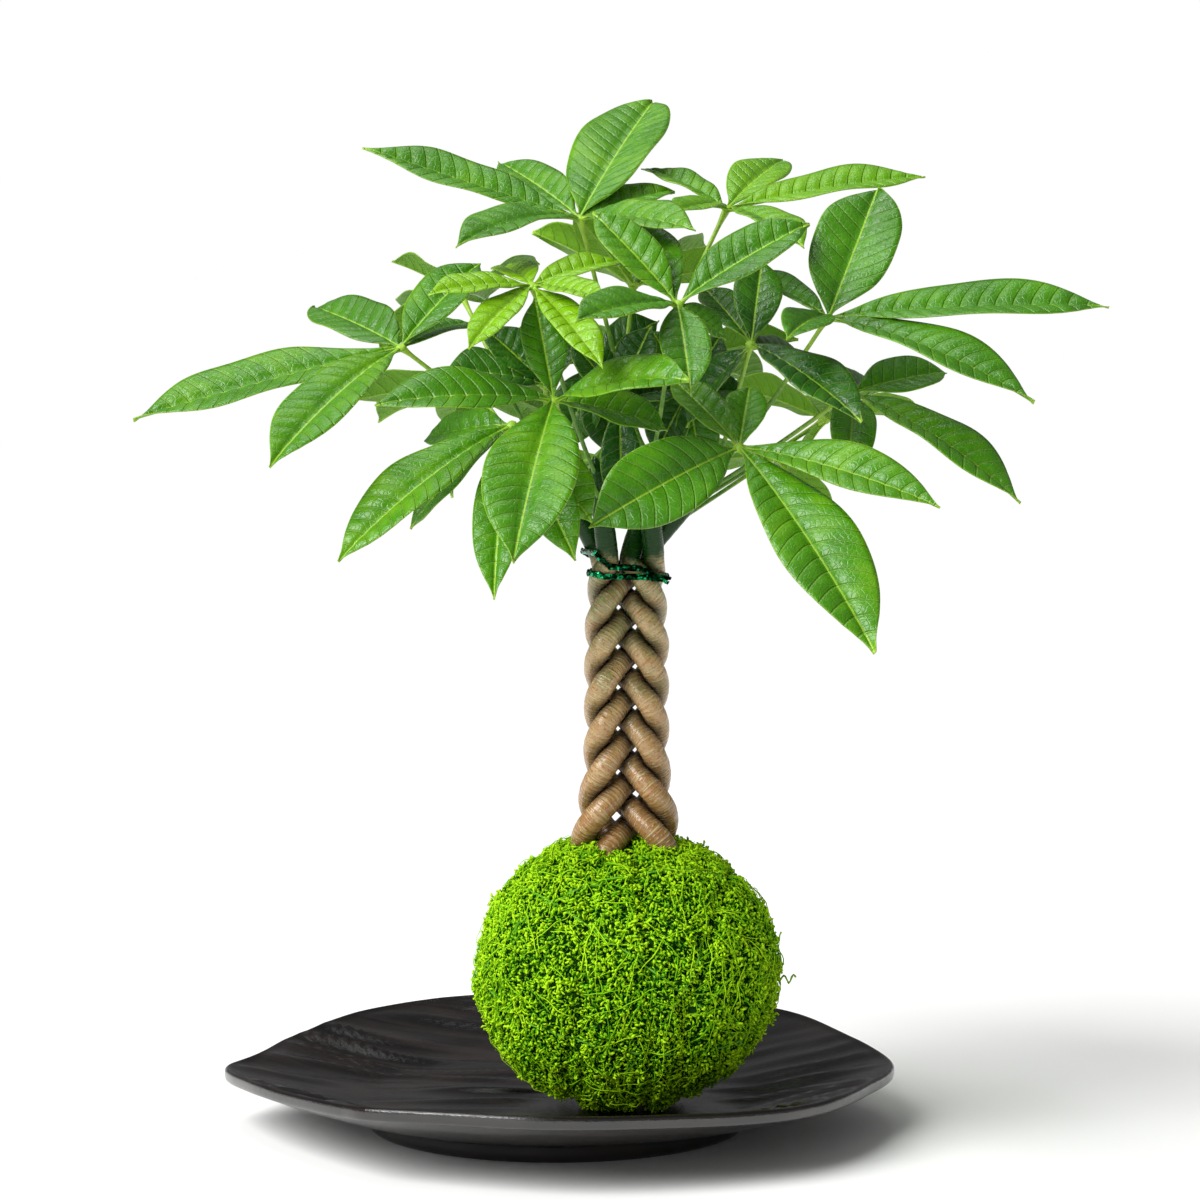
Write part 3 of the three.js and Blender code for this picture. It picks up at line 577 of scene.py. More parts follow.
class StageSettings(bpy.types.PropertyGroup):
    floor: colour_setting("Floor", "Colour of the floor", "f9f9f8")
    view_angle: number_setting(
        "View angle", "Angle that the camera sees", math.radians(20), subtype="ANGLE"
    )
    key_strength: number_setting("Key light", "Strength of the wide soft key light", 4.2, min=0)
    key_softness: number_setting(
        "Key softness", "How wide the key light looks", math.radians(44), subtype="ANGLE"
    )
    fill_power: number_setting("Fill light", "Power of the fill light", 5, unit="POWER", min=0)
    overhead_power: number_setting(
        "Overhead light", "Power of the overhead softbox", 5, unit="POWER", min=0
    )
    surround: number_setting("Surround", "Strength of the light from all round", 0.22, min=0)


# Materials --------------------------------------------------------------------------------------


def glaze_material(name, settings, rough, shine):
    """Black stoneware glaze: satin inside the dish, glossy outside, browner where it runs thin."""
    material, tree, shader = new_material(name)
    place = add_node(tree, "TexCoord")["Object"]
    # Clouds of thicker and thinner glaze about 30 mm across.
    clouds = add_node(tree, "TexNoise", {"Vector": place, "Scale": 33, "Detail": 4})[0]
    # Brush drag along the ridges: 90 mm long and 4 mm wide.
    stretched = add_node(tree, "Mapping", {"Vector": place, "Scale": (11, 250, 60)})[0]
    drag = add_node(tree, "TexNoise", {"Vector": stretched, "Scale": 1, "Detail": 5})[0]
    # Pinholes and specks of about 0.6 mm.
    specks = add_node(tree, "TexNoise", {"Vector": place, "Scale": 1600, "Detail": 2})[0]
    edge = add_node(tree, "NewGeometry")["Pointiness"]
    worn = add_node(tree, "MapRange", (edge, 0.52, 0.6, 0, 1))[0]
    thin = add_node(tree, "Math", (clouds, drag), operation="MULTIPLY")[0]
    thinned = add_node(tree, "MapRange", (thin, 0.2, 0.36, 0, 0.75))[0]
    both = add_node(tree, "Math", (thinned, worn), operation="MAXIMUM")[0]
    tints = {0: both, 6: settings.glaze, 7: settings.thin_glaze}
    relief = add_node(tree, "Math", (drag, specks), operation="ADD")[0]
    bumps = {"Height": relief, "Strength": 0.5, "Distance": 0.00025}
    fill(tree, shader, {
        "Base Color": add_node(tree, "Mix", tints, data_type="RGBA")[2],
        "Roughness": add_node(tree, "MapRange", (drag, 0.3, 0.7, rough, rough * 1.7))[0],
        "Normal": add_node(tree, "Bump", bumps)[0],
        "IOR": 1.5,
        "Specular IOR Level": shine,
    })
    return material


def soil_material(settings):
    """Packed potting soil: dark, matt, in crumbs of 1 to 4 mm."""
    material, tree, shader = new_material("Packed potting soil")
    place = add_node(tree, "TexCoord")["Object"]
    grain = {"Vector": place, "Scale": 420, "Detail": 5, "Roughness": 0.7}
    crumbs = add_node(tree, "TexNoise", grain)[0]
    tints = {0: crumbs, 6: colour("130c07"), 7: settings.soil}
    fill(tree, shader, {
        "Base Color": add_node(tree, "Mix", tints, data_type="RGBA")[2],
        "Roughness": 0.95,
        "Normal": add_node(tree, "Bump", {"Height": crumbs, "Strength": 1, "Distance": 0.001})[0],
    })
    return material


def moss_material(settings):
    """Preserved moss: soft and matt, lime green at its sprigs' tips and darker down them, partly
    its own colour and partly painted shade, darkest between the sprigs.
    """
    material, tree, shader = new_material("Preserved moss")
    # The attribute holds the way up a sprig, darker low down partly as painted shade, and the
    # sprig's own tone, partly random and partly painted shade that darkens the hollows between
    # clumps.
    growth = add_node(tree, "Attribute", attribute_name="growth")["Vector"]
    part = add_node(tree, "SeparateXYZ", (growth,))
    place = add_node(tree, "TexCoord")["Object"]
    # Patches of about 15 mm where the moss took the dye differently.
    patches = add_node(tree, "TexNoise", {"Vector": place, "Scale": 65, "Detail": 3})[0]
    shade = add_node(tree, "MapRange", (patches, 0.3, 0.7, -0.14, 0.14))[0]
    own = add_node(tree, "Math", (part[0], part[1]), operation="ADD")[0]
    height = add_node(tree, "Math", (own, shade), operation="ADD")[0]
    roots = settings.roots
    stops = [(0, roots), (1, settings.tips), (0.3, roots), (0.62, settings.middle)]
    fill(tree, shader, {
        "Base Color": add_node(tree, "ValToRGB", (height,), stops)[0],
        "Roughness": 0.75,
        "Specular IOR Level": 0.12,
    })
    return material


def thread_material(settings):
    """Cotton thread: matt, with stretches a few millimetres long that the moss has stained."""
    material, tree, shader = new_material("Binding thread")
    place = add_node(tree, "TexCoord")["Object"]
    stains = add_node(tree, "TexNoise", {"Vector": place, "Scale": 260, "Detail": 2})[0]
    tints = {0: stains, 6: settings.middle, 7: settings.thread}
    tint = add_node(tree, "Mix", tints, data_type="RGBA")[2]
    fill(tree, shader, {"Base Color": tint, "Roughness": 0.7})
    return material


def from_beat(tree, count):
    """How far a number is from the middle between two whole numbers: 0 there and 0.5 at them."""
    beat = add_node(tree, "Math", (count,), operation="FRACT")[0]
    centred = add_node(tree, "Math", (beat, 0.5), operation="SUBTRACT")[0]
    return add_node(tree, "Math", (centred,), operation="ABSOLUTE")[0]


def bark_material(settings):
    """Young bark of a braided stem: satin, tan to olive, with orange wrinkled rings round it."""
    material, tree, shader = new_material("Ringed young bark")
    # The attribute holds the direction round the stem and the millimetres along it.
    bark = add_node(tree, "Attribute", attribute_name="bark")["Vector"]
    place = add_node(tree, "TexCoord")["Object"]
    height = add_node(tree, "SeparateXYZ", (place,))[2]
    part = add_node(tree, "SeparateXYZ", (bark,))
    # Rings stand about 1.3 mm apart and wander up and down as they go round.
    slow = add_node(tree, "Mapping", {"Vector": bark, "Scale": (0.05, 0.05, 0.06)})[0]
    wander = add_node(tree, "TexNoise", {"Vector": slow, "Scale": 1, "Detail": 2})[0]
    shift = add_node(tree, "Math", (wander, 3), operation="MULTIPLY")[0]
    climb = add_node(tree, "Math", (part[2], 0.78, shift), operation="MULTIPLY_ADD")[0]
    ring = add_node(tree, "MapRange", (from_beat(tree, climb), 0.1, 0.2, 1, 0))[0]
    # Each ring shows only part of the way round.
    number = add_node(tree, "Math", (climb,), operation="FLOOR")[0]
    spin = add_node(tree, "Math", (number, 3.7), operation="MULTIPLY")[0]
    spot = add_node(tree, "CombineXYZ", (part[0], part[1], spin))[0]
    broken = add_node(tree, "TexNoise", {"Vector": spot, "Scale": 0.34, "Detail": 1})[0]
    shown = add_node(tree, "MapRange", (broken, 0.45, 0.55, 0, 0.9))[0]
    lines = add_node(tree, "Math", (ring, shown), operation="MULTIPLY")[0]
    # Paler wrinkles of 0.5 mm between the rings.
    squeezed = add_node(tree, "Mapping", {"Vector": bark, "Scale": (0.06, 0.06, 1.3)})[0]
    folds = add_node(tree, "TexNoise", {"Vector": squeezed, "Scale": 1, "Detail": 2})[0]
    hair = add_node(tree, "MapRange", (folds, 0.53, 0.62, 0, 0.35))[0]
    # Olive and tan patches of about 12 mm, greener with height and browner near the moss.
    blotches = {"Vector": place, "Scale": 95, "Detail": 5, "Roughness": 0.6}
    patches = add_node(tree, "TexNoise", blotches)[0]
    greening = add_node(tree, "MapRange", (height, 0.14, 0.23, -0.22, 0.16))[0]
    greener = add_node(tree, "Math", (patches, greening), operation="ADD")[0]
    green = add_node(tree, "MapRange", (greener, 0.42, 0.62, 0, 0.85))[0]
    ageing = add_node(tree, "MapRange", (height, 0.12, 0.19, 0.95, 0.1))[0]
    # Some rings are orange, others pale.
    lot = add_node(tree, "TexWhiteNoise", {"W": number}, noise_dimensions="1D")[0]
    pale_rings = {0: lot, 6: settings.rings, 7: colour("d9c598")}
    ring_tint = add_node(tree, "Mix", pale_rings, data_type="RGBA")[2]
    # Fine dark pores of 0.4 mm.
    pores = add_node(tree, "TexNoise", {"Vector": place, "Scale": 1500, "Detail": 2})[0]
    dirt = add_node(tree, "MapRange", (pores, 0.3, 0.5, 0.45, 0))[0]
    # Grime and painted shade where two stems press together.
    press = add_node(tree, "Attribute", attribute_name="crevice")["Vector"]
    grime_and_shade = add_node(tree, "SeparateXYZ", (press,))[0]
    # Above the tie the stems are dark green shoots.
    rise = add_node(tree, "MapRange", (patches, 0.3, 0.7, -0.006, 0.006))[0]
    raised = add_node(tree, "Math", (height, rise), operation="ADD")[0]
    shoot = add_node(
        tree, "MapRange", (raised, 0.219, 0.227, 0, 1), interpolation_type="SMOOTHSTEP"
    )[0]
    tint = settings.bark
    for share, layer in (
        (green, settings.green_bark), (ageing, settings.old_bark), (lines, ring_tint),
        (hair, colour("dcc690")), (dirt, colour("4a3b28")), (grime_and_shade, colour("120c06")),
        (shoot, settings.shoots),
    ):
        tint = add_node(tree, "Mix", {0: share, 6: tint, 7: layer}, data_type="RGBA")[2]
    # The shoots are smoother and less shiny than the bark.
    relief = {
        "Height": add_node(tree, "Math", (folds, lines), operation="ADD")[0],
        "Strength": add_node(tree, "MapRange", (shoot, 0, 1, 0.8, 0.25))[0],
        "Distance": 0.0004,
    }
    fill(tree, shader, {
        "Base Color": tint,
        "Roughness": add_node(tree, "MapRange", (folds, 0.3, 0.7, 0.18, 0.34))[0],
        "Normal": add_node(tree, "Bump", relief)[0],
        "Specular IOR Level": add_node(tree, "MapRange", (shoot, 0, 1, 0.7, 0.25))[0],
    })
    return material


def foil_material(settings):
    """Green metallised foil on a tie wire: crumpled, mirror bright on its facets, with painted
    reflections and glints in its colour.
    """
    material, tree, shader = new_material("Crumpled metal foil")
    place = add_node(tree, "TexCoord")["Object"]
    # Facets about 1 mm across, each given a random colour from near black to bright emerald:
    # painted dark reflections and glints.
    facets = add_node(tree, "TexVoronoi", {"Vector": place, "Scale": 800}, feature="F1")
    own = add_node(tree, "SeparateXYZ", (facets["Color"],))[0]
    stops = [(0.3, colour("010c06")), (1, colour("35d68e")), (0.76, settings.foil)]
    creases = {"Height": facets["Distance"], "Strength": 0.8, "Distance": 0.0005}
    fill(tree, shader, {
        "Base Color": add_node(tree, "ValToRGB", (own,), stops)[0],
        "Metallic": 1,
        "Roughness": 0.16,
        "Normal": add_node(tree, "Bump", creases)[0],
    })
    return material


def blade_material(name, settings, under=False):
    """Leaf blade: waxy and satin above, with pale veins; paler and duller underneath."""
    material, tree, shader = new_material(name)
    # One attribute holds the millimetres from the midrib and from the margin and the count of side
    # veins; the other the millimetres along the blade, how pale it is, and a number of its own.
    blade = add_node(tree, "Attribute", attribute_name="blade")["Vector"]
    lie = add_node(tree, "Attribute", attribute_name="lie")["Vector"]
    across = add_node(tree, "SeparateXYZ", (blade,))
    leaf = add_node(tree, "SeparateXYZ", (lie,))
    flat = add_node(tree, "CombineXYZ", (across[0], leaf[0], leaf[2]))[0]
    # Side veins, and the net of small veins between them in cells of about 2 mm.
    beat = from_beat(tree, across[2])
    vein = add_node(tree, "MapRange", (beat, 0.4, 0.495, 0, 1), interpolation_type="SMOOTHSTEP")[0]
    meshes = {"Vector": flat, "Scale": 0.5}
    cells = add_node(tree, "TexVoronoi", meshes, feature="DISTANCE_TO_EDGE")[0]
    net = add_node(tree, "MapRange", (cells, 0, 0.14, 1, 0))[0]
    # The midrib shows as a line 0.6 mm wide, and the margin as a finer one, which is a painted
    # highlight along the leaflet's edge.
    aside = add_node(tree, "Math", (across[0],), operation="ABSOLUTE")[0]
    midrib = add_node(tree, "MapRange", (aside, 0.12, 0.5, 0.85, 0))[0]
    rim = add_node(tree, "MapRange", (across[1], 0.1, 0.45, 0.4, 0))[0]
    # Mottling of 6 mm and of 25 mm.
    mottle = add_node(tree, "TexNoise", {"Vector": flat, "Scale": 0.16, "Detail": 4})[0]
    cloud = add_node(tree, "TexNoise", {"Vector": flat, "Scale": 0.04, "Detail": 2})[0]
    stir = add_node(tree, "MapRange", (mottle, 0.3, 0.7, -0.05, 0.05))[0]
    drift = add_node(tree, "MapRange", (cloud, 0.3, 0.7, -0.09, 0.09))[0]
    stirred = add_node(tree, "Math", (leaf[1], stir), operation="ADD")[0]
    tone = add_node(tree, "Math", (stirred, drift), operation="ADD")[0]
    if under:
        tints = {0: tone, 6: settings.undersides, 7: settings.pale}
        tint = add_node(tree, "Mix", tints, data_type="RGBA")[2]
    else:
        # The darkest end of the ramp is also painted shade for the leaves deep in the crown.
        stops = [
            (0, settings.oldest_and_shaded), (1, settings.newest), (0.36, settings.mature),
            (0.66, settings.pale),
        ]
        tint = add_node(tree, "ValToRGB", (tone,), stops)[0]
    veining = add_node(tree, "Math", (vein, 0.12), operation="MULTIPLY")[0]
    netting = add_node(tree, "Math", (net, 0.04), operation="MULTIPLY")[0]
    lined = add_node(tree, "Math", (rim, midrib), operation="MAXIMUM")[0]
    for share in (veining, netting, lined):
        tint = add_node(tree, "Mix", {0: share, 6: tint, 7: settings.ribs}, data_type="RGBA")[2]
    # New leaves are shinier.
    smoothest, roughest = (0.5, 0.65) if under else (0.26, 0.4)
    gloss = add_node(tree, "MapRange", (mottle, 0.3, 0.7, smoothest, roughest))[0]
    # Veins are sunk on the upper side and stand out underneath.
    vein_height, net_height = (1, 0.3) if under else (-1, -0.22)
    sunk = add_node(tree, "Math", (vein, vein_height), operation="MULTIPLY")[0]
    fine = add_node(tree, "Math", (net, net_height), operation="MULTIPLY")[0]
    relief = add_node(tree, "Math", (sunk, fine), operation="ADD")[0]
    bumps = {"Height": relief, "Strength": 0.9, "Distance": 0.0004}
    fill(tree, shader, {
        "Base Color": tint,
        "Roughness": add_node(tree, "Math", (leaf[1], -0.12, gloss), operation="MULTIPLY_ADD")[0],
        "Normal": add_node(tree, "Bump", bumps)[0],
        "IOR": 1.45,
        "Specular IOR Level": 0.3 if under else 0.5,
    })
    return material


def rib_material(settings):
    """Midrib and hub: smooth, pale yellow-green, slightly waxy."""
    material, tree, shader = new_material("Waxy midrib")
    place = add_node(tree, "TexCoord")["Object"]
    # Streaks of about 2 mm.
    streaks = add_node(tree, "TexNoise", {"Vector": place, "Scale": 480, "Detail": 2})[0]
    tints = {0: streaks, 6: settings.pale, 7: settings.ribs}
    tint = add_node(tree, "Mix", tints, data_type="RGBA")[2]
    fill(tree, shader, {"Base Color": tint, "Roughness": 0.4})
    return material


def stalk_material(settings):
    """Leaf stalk: green skin, yellower towards the leaf, with fine streaks along it."""
    material, tree, shader = new_material("Green stalk skin")
    # The attribute holds the share of the way from the stem to the leaf.
    way = add_node(tree, "Attribute", attribute_name="lie")["Vector"]
    share = add_node(tree, "SeparateXYZ", (way,))[0]
    place = add_node(tree, "TexCoord")["Object"]
    # Streaks and spots of 1 to 3 mm.
    spots = add_node(tree, "TexNoise", {"Vector": place, "Scale": 520, "Detail": 3})[0]
    near = add_node(tree, "MapRange", (share, 0.5, 1, 0, 0.8))[0]
    spotted = add_node(tree, "MapRange", (spots, 0.35, 0.7, 0, 0.35))[0]
    yellowed = add_node(tree, "Math", (near, spotted), operation="ADD")[0]
    tints = {0: yellowed, 6: settings.stalks, 7: settings.ribs}
    tint = add_node(tree, "Mix", tints, data_type="RGBA")[2]
    fill(tree, shader, {"Base Color": tint, "Roughness": 0.42})
    return material


# Pieces -----------------------------------------------------------------------------------------


class TREE_OT_camera(bpy.types.Operator):
    """Places the camera in front of the tray, a little above it"""

    bl_idname = "tree.camera"
    bl_label = "Place camera"

    def execute(self, context):
        lens = bpy.data.cameras.new("camera")
        lens.angle = context.scene.tree_stage.view_angle
        lens.clip_start, lens.clip_end = 0.05, 100
        camera = bpy.data.objects.new("camera", lens)
        context.scene.collection.objects.link(camera)
        camera.location = CAMERA_PLACE
        camera.rotation_euler = (CAMERA_TILT, 0, 0)
        context.scene.camera = camera
        return {"FINISHED"}


class TREE_OT_tray(bpy.types.Operator):
    """Models the tray: a profile spun round the middle, then drawn out to its uneven rim"""

    bl_idname = "tree.tray"
    bl_label = "Add tray"

    def profile(self):
        """The tray's section from the middle of the dish over the rim to the foot's middle."""
        run, rise = RIM_REACH - FLOOR_RADIUS, RIM_HEIGHT - FLOOR_HEIGHT
        points = [(r, FLOOR_HEIGHT) for r in np.linspace(MIDDLE, FLOOR_RADIUS, 22)]
        for share in np.linspace(0.05, 0.95, 19):
            points.append((FLOOR_RADIUS + run * share, FLOOR_HEIGHT + rise * share ** DISH_CURVE))
        points += [(RIM_REACH + out, RIM_HEIGHT + up) for out, up in RIM_SECTION]
        for share in np.linspace(0.93, 0.06, 18):
            height = FLOOR_HEIGHT + rise * share ** DISH_CURVE - WALL
            points.append((FLOOR_RADIUS + run * share, height - 0.5 * smooth(0.93, 0.8, share)))
        points += [(FOOT_RADIUS + out, height) for out, height in FOOT_SECTION]
        return points + [(MIDDLE, HOLLOW)]

    def outline(self):
        """The rim's directions in degrees, its reach and height there, and softened copies."""
        corners = []
        for degrees, reach, height in RIM:
            angle = math.radians(degrees)
            corners.append((reach * math.cos(angle), reach * math.sin(angle), height))
        line = [catmull_rom(corners, i / RIM_STEPS, closed=True) for i in range(RIM_STEPS)]
        turns = np.degrees([math.atan2(p.y, p.x) for p in line]) % 360
        order = np.argsort(turns)
        own = [np.array(row)[order] for row in zip(*[(math.hypot(p.x, p.y), p.z) for p in line])]
        window, middle = np.hanning(91) / 45, slice(RIM_STEPS, 2 * RIM_STEPS)
        soft = [np.convolve(np.tile(row, 3), window, "same")[middle] for row in own]
        return turns[order], own, soft

    def ridge(self, x, y, share, settings):
        """The height of the ridges across the dish, which fade at its rim and under the moss."""
        # They wander by 13 mm in long bends and by 3 mm in short ones, and are stronger in places.
        wander = 13 * noise.noise(Vector((x / 75, y / 50, 1)))
        wander += 3 * noise.noise(Vector((x / 26, y / 26, 5)))
        strength = 0.6 + 1.8 * noise.noise(Vector((x / 60, y / 26, 9)))
        ripple = math.sin(TURN * (y + wander + 0.03 * x) / (settings.ridge_spacing / MM))
        # Narrow crests, and shallow hollows between them.
        crest = strength * (max(ripple, 0) ** 1.5 - 0.35 * max(-ripple, 0))
        apart = math.hypot(x - BALL_CENTRE.x, y - BALL_CENTRE.y)
        fading = smooth(1.0, 0.86, share) * smooth(24, 50, apart)
        return settings.ridge_height / MM * crest * fading

    def shape(self, mesh, settings):
        """Moves the spun section out to the uneven rim, and presses the ridges into the dish."""
        turns, own, soft = self.outline()
        for vertex in mesh.vertices:
            x, y, z = vertex.co / MM
            radius, angle = math.hypot(x, y), math.atan2(y, x)
            degrees = math.degrees(angle) % 360
            share = max(0, (radius - FLOOR_RADIUS) / (RIM_REACH - FLOOR_RADIUS))
            near = smooth(0.72, 0.96, share)  # further in, the dish follows the rim only softly
            reach, rim_height = [
                mix(np.interp(degrees, turns, even), np.interp(degrees, turns, row), near)
                for even, row in zip(soft, own)
            ]
            grown = radius if share == 0 else FLOOR_RADIUS + share * (reach - FLOOR_RADIUS)
            x, y = grown * math.cos(angle), grown * math.sin(angle)
            curve = share ** DISH_CURVE
            inside = z > FLOOR_HEIGHT + (RIM_HEIGHT - FLOOR_HEIGHT) * curve - INSIDE_MARGIN
            z += (rim_height - RIM_HEIGHT) * curve
            if inside:
                z += self.ridge(x, y, share, settings)
            # The whole tray is a little uneven, as a hand leaves it.
            uneven = noise.noise(Vector((x, y, z)) / 25) * smooth(0.2, 1.0, share)
            z += UNEVENNESS * uneven
            vertex.co = Vector((x, y, max(z, 0))) * MM

    def execute(self, context):
        settings = context.scene.tree_tray
        section = self.profile()
        edges = [(i, i + 1) for i in range(len(section) - 1)]
        mesh = bpy.data.meshes.new("glazed_tray")
        mesh.from_pydata([(r * MM, 0, z * MM) for r, z in section], edges, [])
        tray = bpy.data.objects.new("glazed_tray", mesh)
        context.scene.collection.objects.link(tray)
        deselect_all()
        tray.select_set(True)
        context.view_layer.objects.active = tray
        bpy.ops.object.mode_set(mode="EDIT")
        bpy.ops.mesh.select_all(action="SELECT")
        bpy.ops.mesh.spin(
            steps=SPIN_STEPS, angle=TURN, center=(0, 0, 0), axis=(0, 0, 1), use_auto_merge=True
        )
        bpy.ops.mesh.select_all(action="SELECT")
        bpy.ops.mesh.remove_doubles(threshold=0.00003)
        bpy.ops.mesh.normals_make_consistent(inside=False)
        bpy.ops.object.mode_set(mode="OBJECT")
        self.shape(mesh, settings)
        mesh.materials.append(glaze_material("Satin black stoneware glaze", settings, 0.12, 0.32))
        mesh.materials.append(glaze_material("Glossy black stoneware glaze", settings, 0.07, 1))
        glossy = [face.normal.z <= FACING_UP for face in mesh.polygons]
        mesh.polygons.foreach_set("material_index", glossy)
        bpy.ops.object.shade_smooth()
        settle(tray, "tray")
        return {"FINISHED"}


class TREE_OT_soil(bpy.types.Operator):
    """Gives the packed soil inside the moss its material"""

    bl_idname = "tree.soil"
    bl_label = "Finish soil"

    def execute(self, context):
        material = soil_material(context.scene.tree_moss)
        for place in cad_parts["soil_ball"].material_slots:
            place.material = material
        return {"FINISHED"}


class TREE_OT_moss(bpy.types.Operator):
    """Models the moss: a lumpy ball, thousands of curled sprigs on it, and loose strands"""

    bl_idname = "tree.moss"
    bl_label = "Add moss"

    def core(self, material):
        """The lumpy ball under the sprigs, which follows their clumps."""
        deselect_all()
        bpy.ops.mesh.primitive_ico_sphere_add(subdivisions=6, radius=1)
        core = bpy.context.active_object
        for vertex in core.data.vertices:
            direction = vertex.co.normalized()
            grain = 0.9 * noise.noise(direction * 34) + 0.6 * noise.noise(direction * 70)
            clump = CLUMP_HEIGHT * noise.noise(direction * CLUMPING)
            vertex.co = ball_surface(direction, grain - 1.3 + clump) * MM
        # The ball under the sprigs takes the dark colour deep in the moss: painted shade in the
        # gaps between the sprigs.
        add_layer(core.data, "growth", [(0.22, 0, 0)] * len(core.data.vertices))
        core.data.materials.append(material)
        bpy.ops.object.shade_smooth()
        core.name = core.data.name = "moss_ball"
        return core

    def sprig_shape(self, rng):
        """One sprig: three thin fibres that rise a little, curl over and wander off."""
        points, faces, growth = [], [], []
        for fibre in range(3):
            turn = TURN * (fibre + rng.uniform(-0.3, 0.3)) / 3
            out = Vector((math.cos(turn), math.sin(turn), 0))
            way = (out * 0.9 + Vector((0, 0, 1))).normalized()
            path = [out * 0.06]
            for _ in range(4):
                path.append(path[-1] + way * 0.3)
                curl = Vector((rng.gauss(0, 0.75), rng.gauss(0, 0.75), rng.uniform(-0.6, 0)))
                way = (way + curl).normalized()
            add_tube(points, faces, path, (0.1, 0.14, 0.12, 0.19, 0.13), 3)
            # The way up each fibre: its base is darker, partly as painted shade deep in the moss.
            growth += [value for value in (0.1, 0.45, 0.65, 0.85, 0.95) for _ in range(3)]
        flat = [(face[0], *face[i:i + 2]) for face in faces for i in range(1, len(face) - 1)]
        return np.array(points), np.array(flat), np.array(growth)

    def places(self, count, height, rng):
        """Where the sprigs grow: evenly over the ball, but not under it or in the stems."""
        found = []
        golden = math.pi * (3 - math.sqrt(5))
        for i in range(count):
            up = 1 - 2 * (i + 0.5) / count
            flat = math.sqrt(1 - up * up)
            direction = Vector((math.cos(golden * i) * flat, math.sin(golden * i) * flat, up))
            direction += Vector([rng.uniform(-0.012, 0.012) for _ in range(3)])
            clump = noise.noise(direction * CLUMPING)
            point = ball_surface(direction, -0.7 + CLUMP_HEIGHT * clump)
            if point.z < RESTING_HEIGHT + SPRIG_CLEARANCE or near_stem(point, 0.5):
                continue
            way = direction + Vector([rng.gauss(0, 0.5) for _ in range(3)])
            size = height * (1 + 0.3 * clump) * rng.uniform(0.75, 1.2)
            if point.z < FLATTENED_HEIGHT:
                size *= 0.75
                way.z = max(way.z, -0.25)
            # A sprig's tone is lighter on a clump and darker in a hollow, as painted shade, with
            # some random difference of its own.
            found.append((point, way.normalized(), size, 0.5 * clump + rng.gauss(0, 0.1)))
        return found

    def scatter(self, shapes, places, rng):
        """Copies of the sprig shapes, one at each place: a point, its direction, size and shade."""
        all_points, all_faces, all_growth = [], [], []
        offset = 0
        for index, (point, way, size, shade) in enumerate(places):
            points, faces, growth = shapes[index % len(shapes)]
            spin = Matrix.Rotation(rng.uniform(0, TURN), 3, "Z")
            turn = way.to_track_quat("Z", "Y").to_matrix() @ spin
            all_points.append(points @ np.array(turn).T * size + np.array(point))
            all_faces.append(faces + offset)
            own = np.full((len(growth), 2), (shade, 0))
            all_growth.append(np.column_stack([growth, own]))
            offset += len(points)
        return [np.concatenate(rows) for rows in (all_points, all_faces, all_growth)]

    def strays(self, rng):
        """Long curled sprigs that stand out from the ball."""
        points, faces, growth = [], [], []
        for x, z, length, lean in STRAYS:
            start = ball_surface(Vector((x, BALL_CENTRE.y - 12 * lean, z)) - BALL_CENTRE, -1)
            out = (start - BALL_CENTRE).normalized()
            path = []
            for i in range(STRAY_STEPS):
                share = i / (STRAY_STEPS - 1)
                twist = share * 15 + x
                curl = Vector((0, math.cos(twist), math.sin(twist))) * (0.5 + 1.5 * share)
                path.append(start + out * length * share + curl)
            radii = [0.26 + 0.2 * abs(math.sin(i * 1.7)) for i in range(STRAY_STEPS)]
            added = add_tube(points, faces, path, radii, 6)
            growth += [(0.8, rng.uniform(-0.1, 0.1), 0)] * added
        return points, faces, growth

    def strand_path(self, start, heading, length, lift, rng):
        """A wandering line over the moss: it starts in one direction from the ball's middle."""
        direction, way = start.normalized(), Vector(heading)
        path = []
        for i in range(max(4, int(length / STRAND_STEP))):
            way = (way - direction * way.dot(direction)).normalized()
            path.append(ball_surface(direction, lift + 0.35 * math.sin(i * 0.9 + rng.random())))
            stray = direction.cross(way) * rng.uniform(-0.22, 0.22)
            direction = (direction + (way + stray) * STRAND_STEP / STRAND_ORBIT).normalized()
        return path

    def strands(self, count, rng):
        """Loose strands that lie on the moss, most of them upright, but not under it or on top."""
        points, faces, growth = [], [], []
        for _ in range(count):
            start = Vector([rng.gauss(0, 1) for _ in range(3)]).normalized()
            if ball_surface(start).z < STRANDS_FROM or start.z > STRANDS_TO:
                continue
            heading = [rng.gauss(0, spread) for spread in (1, 1, 2.2)]
            length, lift = rng.uniform(7, 24), rng.uniform(0.9, 2.3)
            path = self.strand_path(start, heading, length, lift, rng)
            radius = rng.uniform(0.13, 0.27)
            shares = [(i + 0.6) / (len(path) + 0.2) for i in range(len(path))]
            radii = [radius * math.sin(math.pi * share) ** 0.4 for share in shares]
            added = add_tube(points, faces, path, radii, 5)
            growth += [(rng.uniform(0.65, 1.0), 0, 0)] * added
        return points, faces, growth

    def execute(self, context):
        settings = context.scene.tree_moss
        rng = random.Random(MOSS_SEED)
        material = moss_material(settings)
        settle(self.core(material), "moss_cover")
        shapes = [self.sprig_shape(rng) for _ in range(SPRIG_SHAPES)]
        places = self.places(settings.sprigs, settings.sprig_height / MM, rng)
        share = math.ceil(len(places) / MOSS_PIECES)
        parts = {}
        for number in range(MOSS_PIECES):
            some = places[number * share:(number + 1) * share]
            parts[f"moss_sprigs_{number + 1}"] = self.scatter(shapes, some, rng)
        parts["moss_strays"] = self.strays(rng)
        parts["moss_strands"] = self.strands(settings.strands, rng)
        for name, (points, faces, growth) in parts.items():
            piece = mesh_piece(name, points, faces, material, growth=growth)
            settle(piece, "moss_cover")
        return {"FINISHED"}


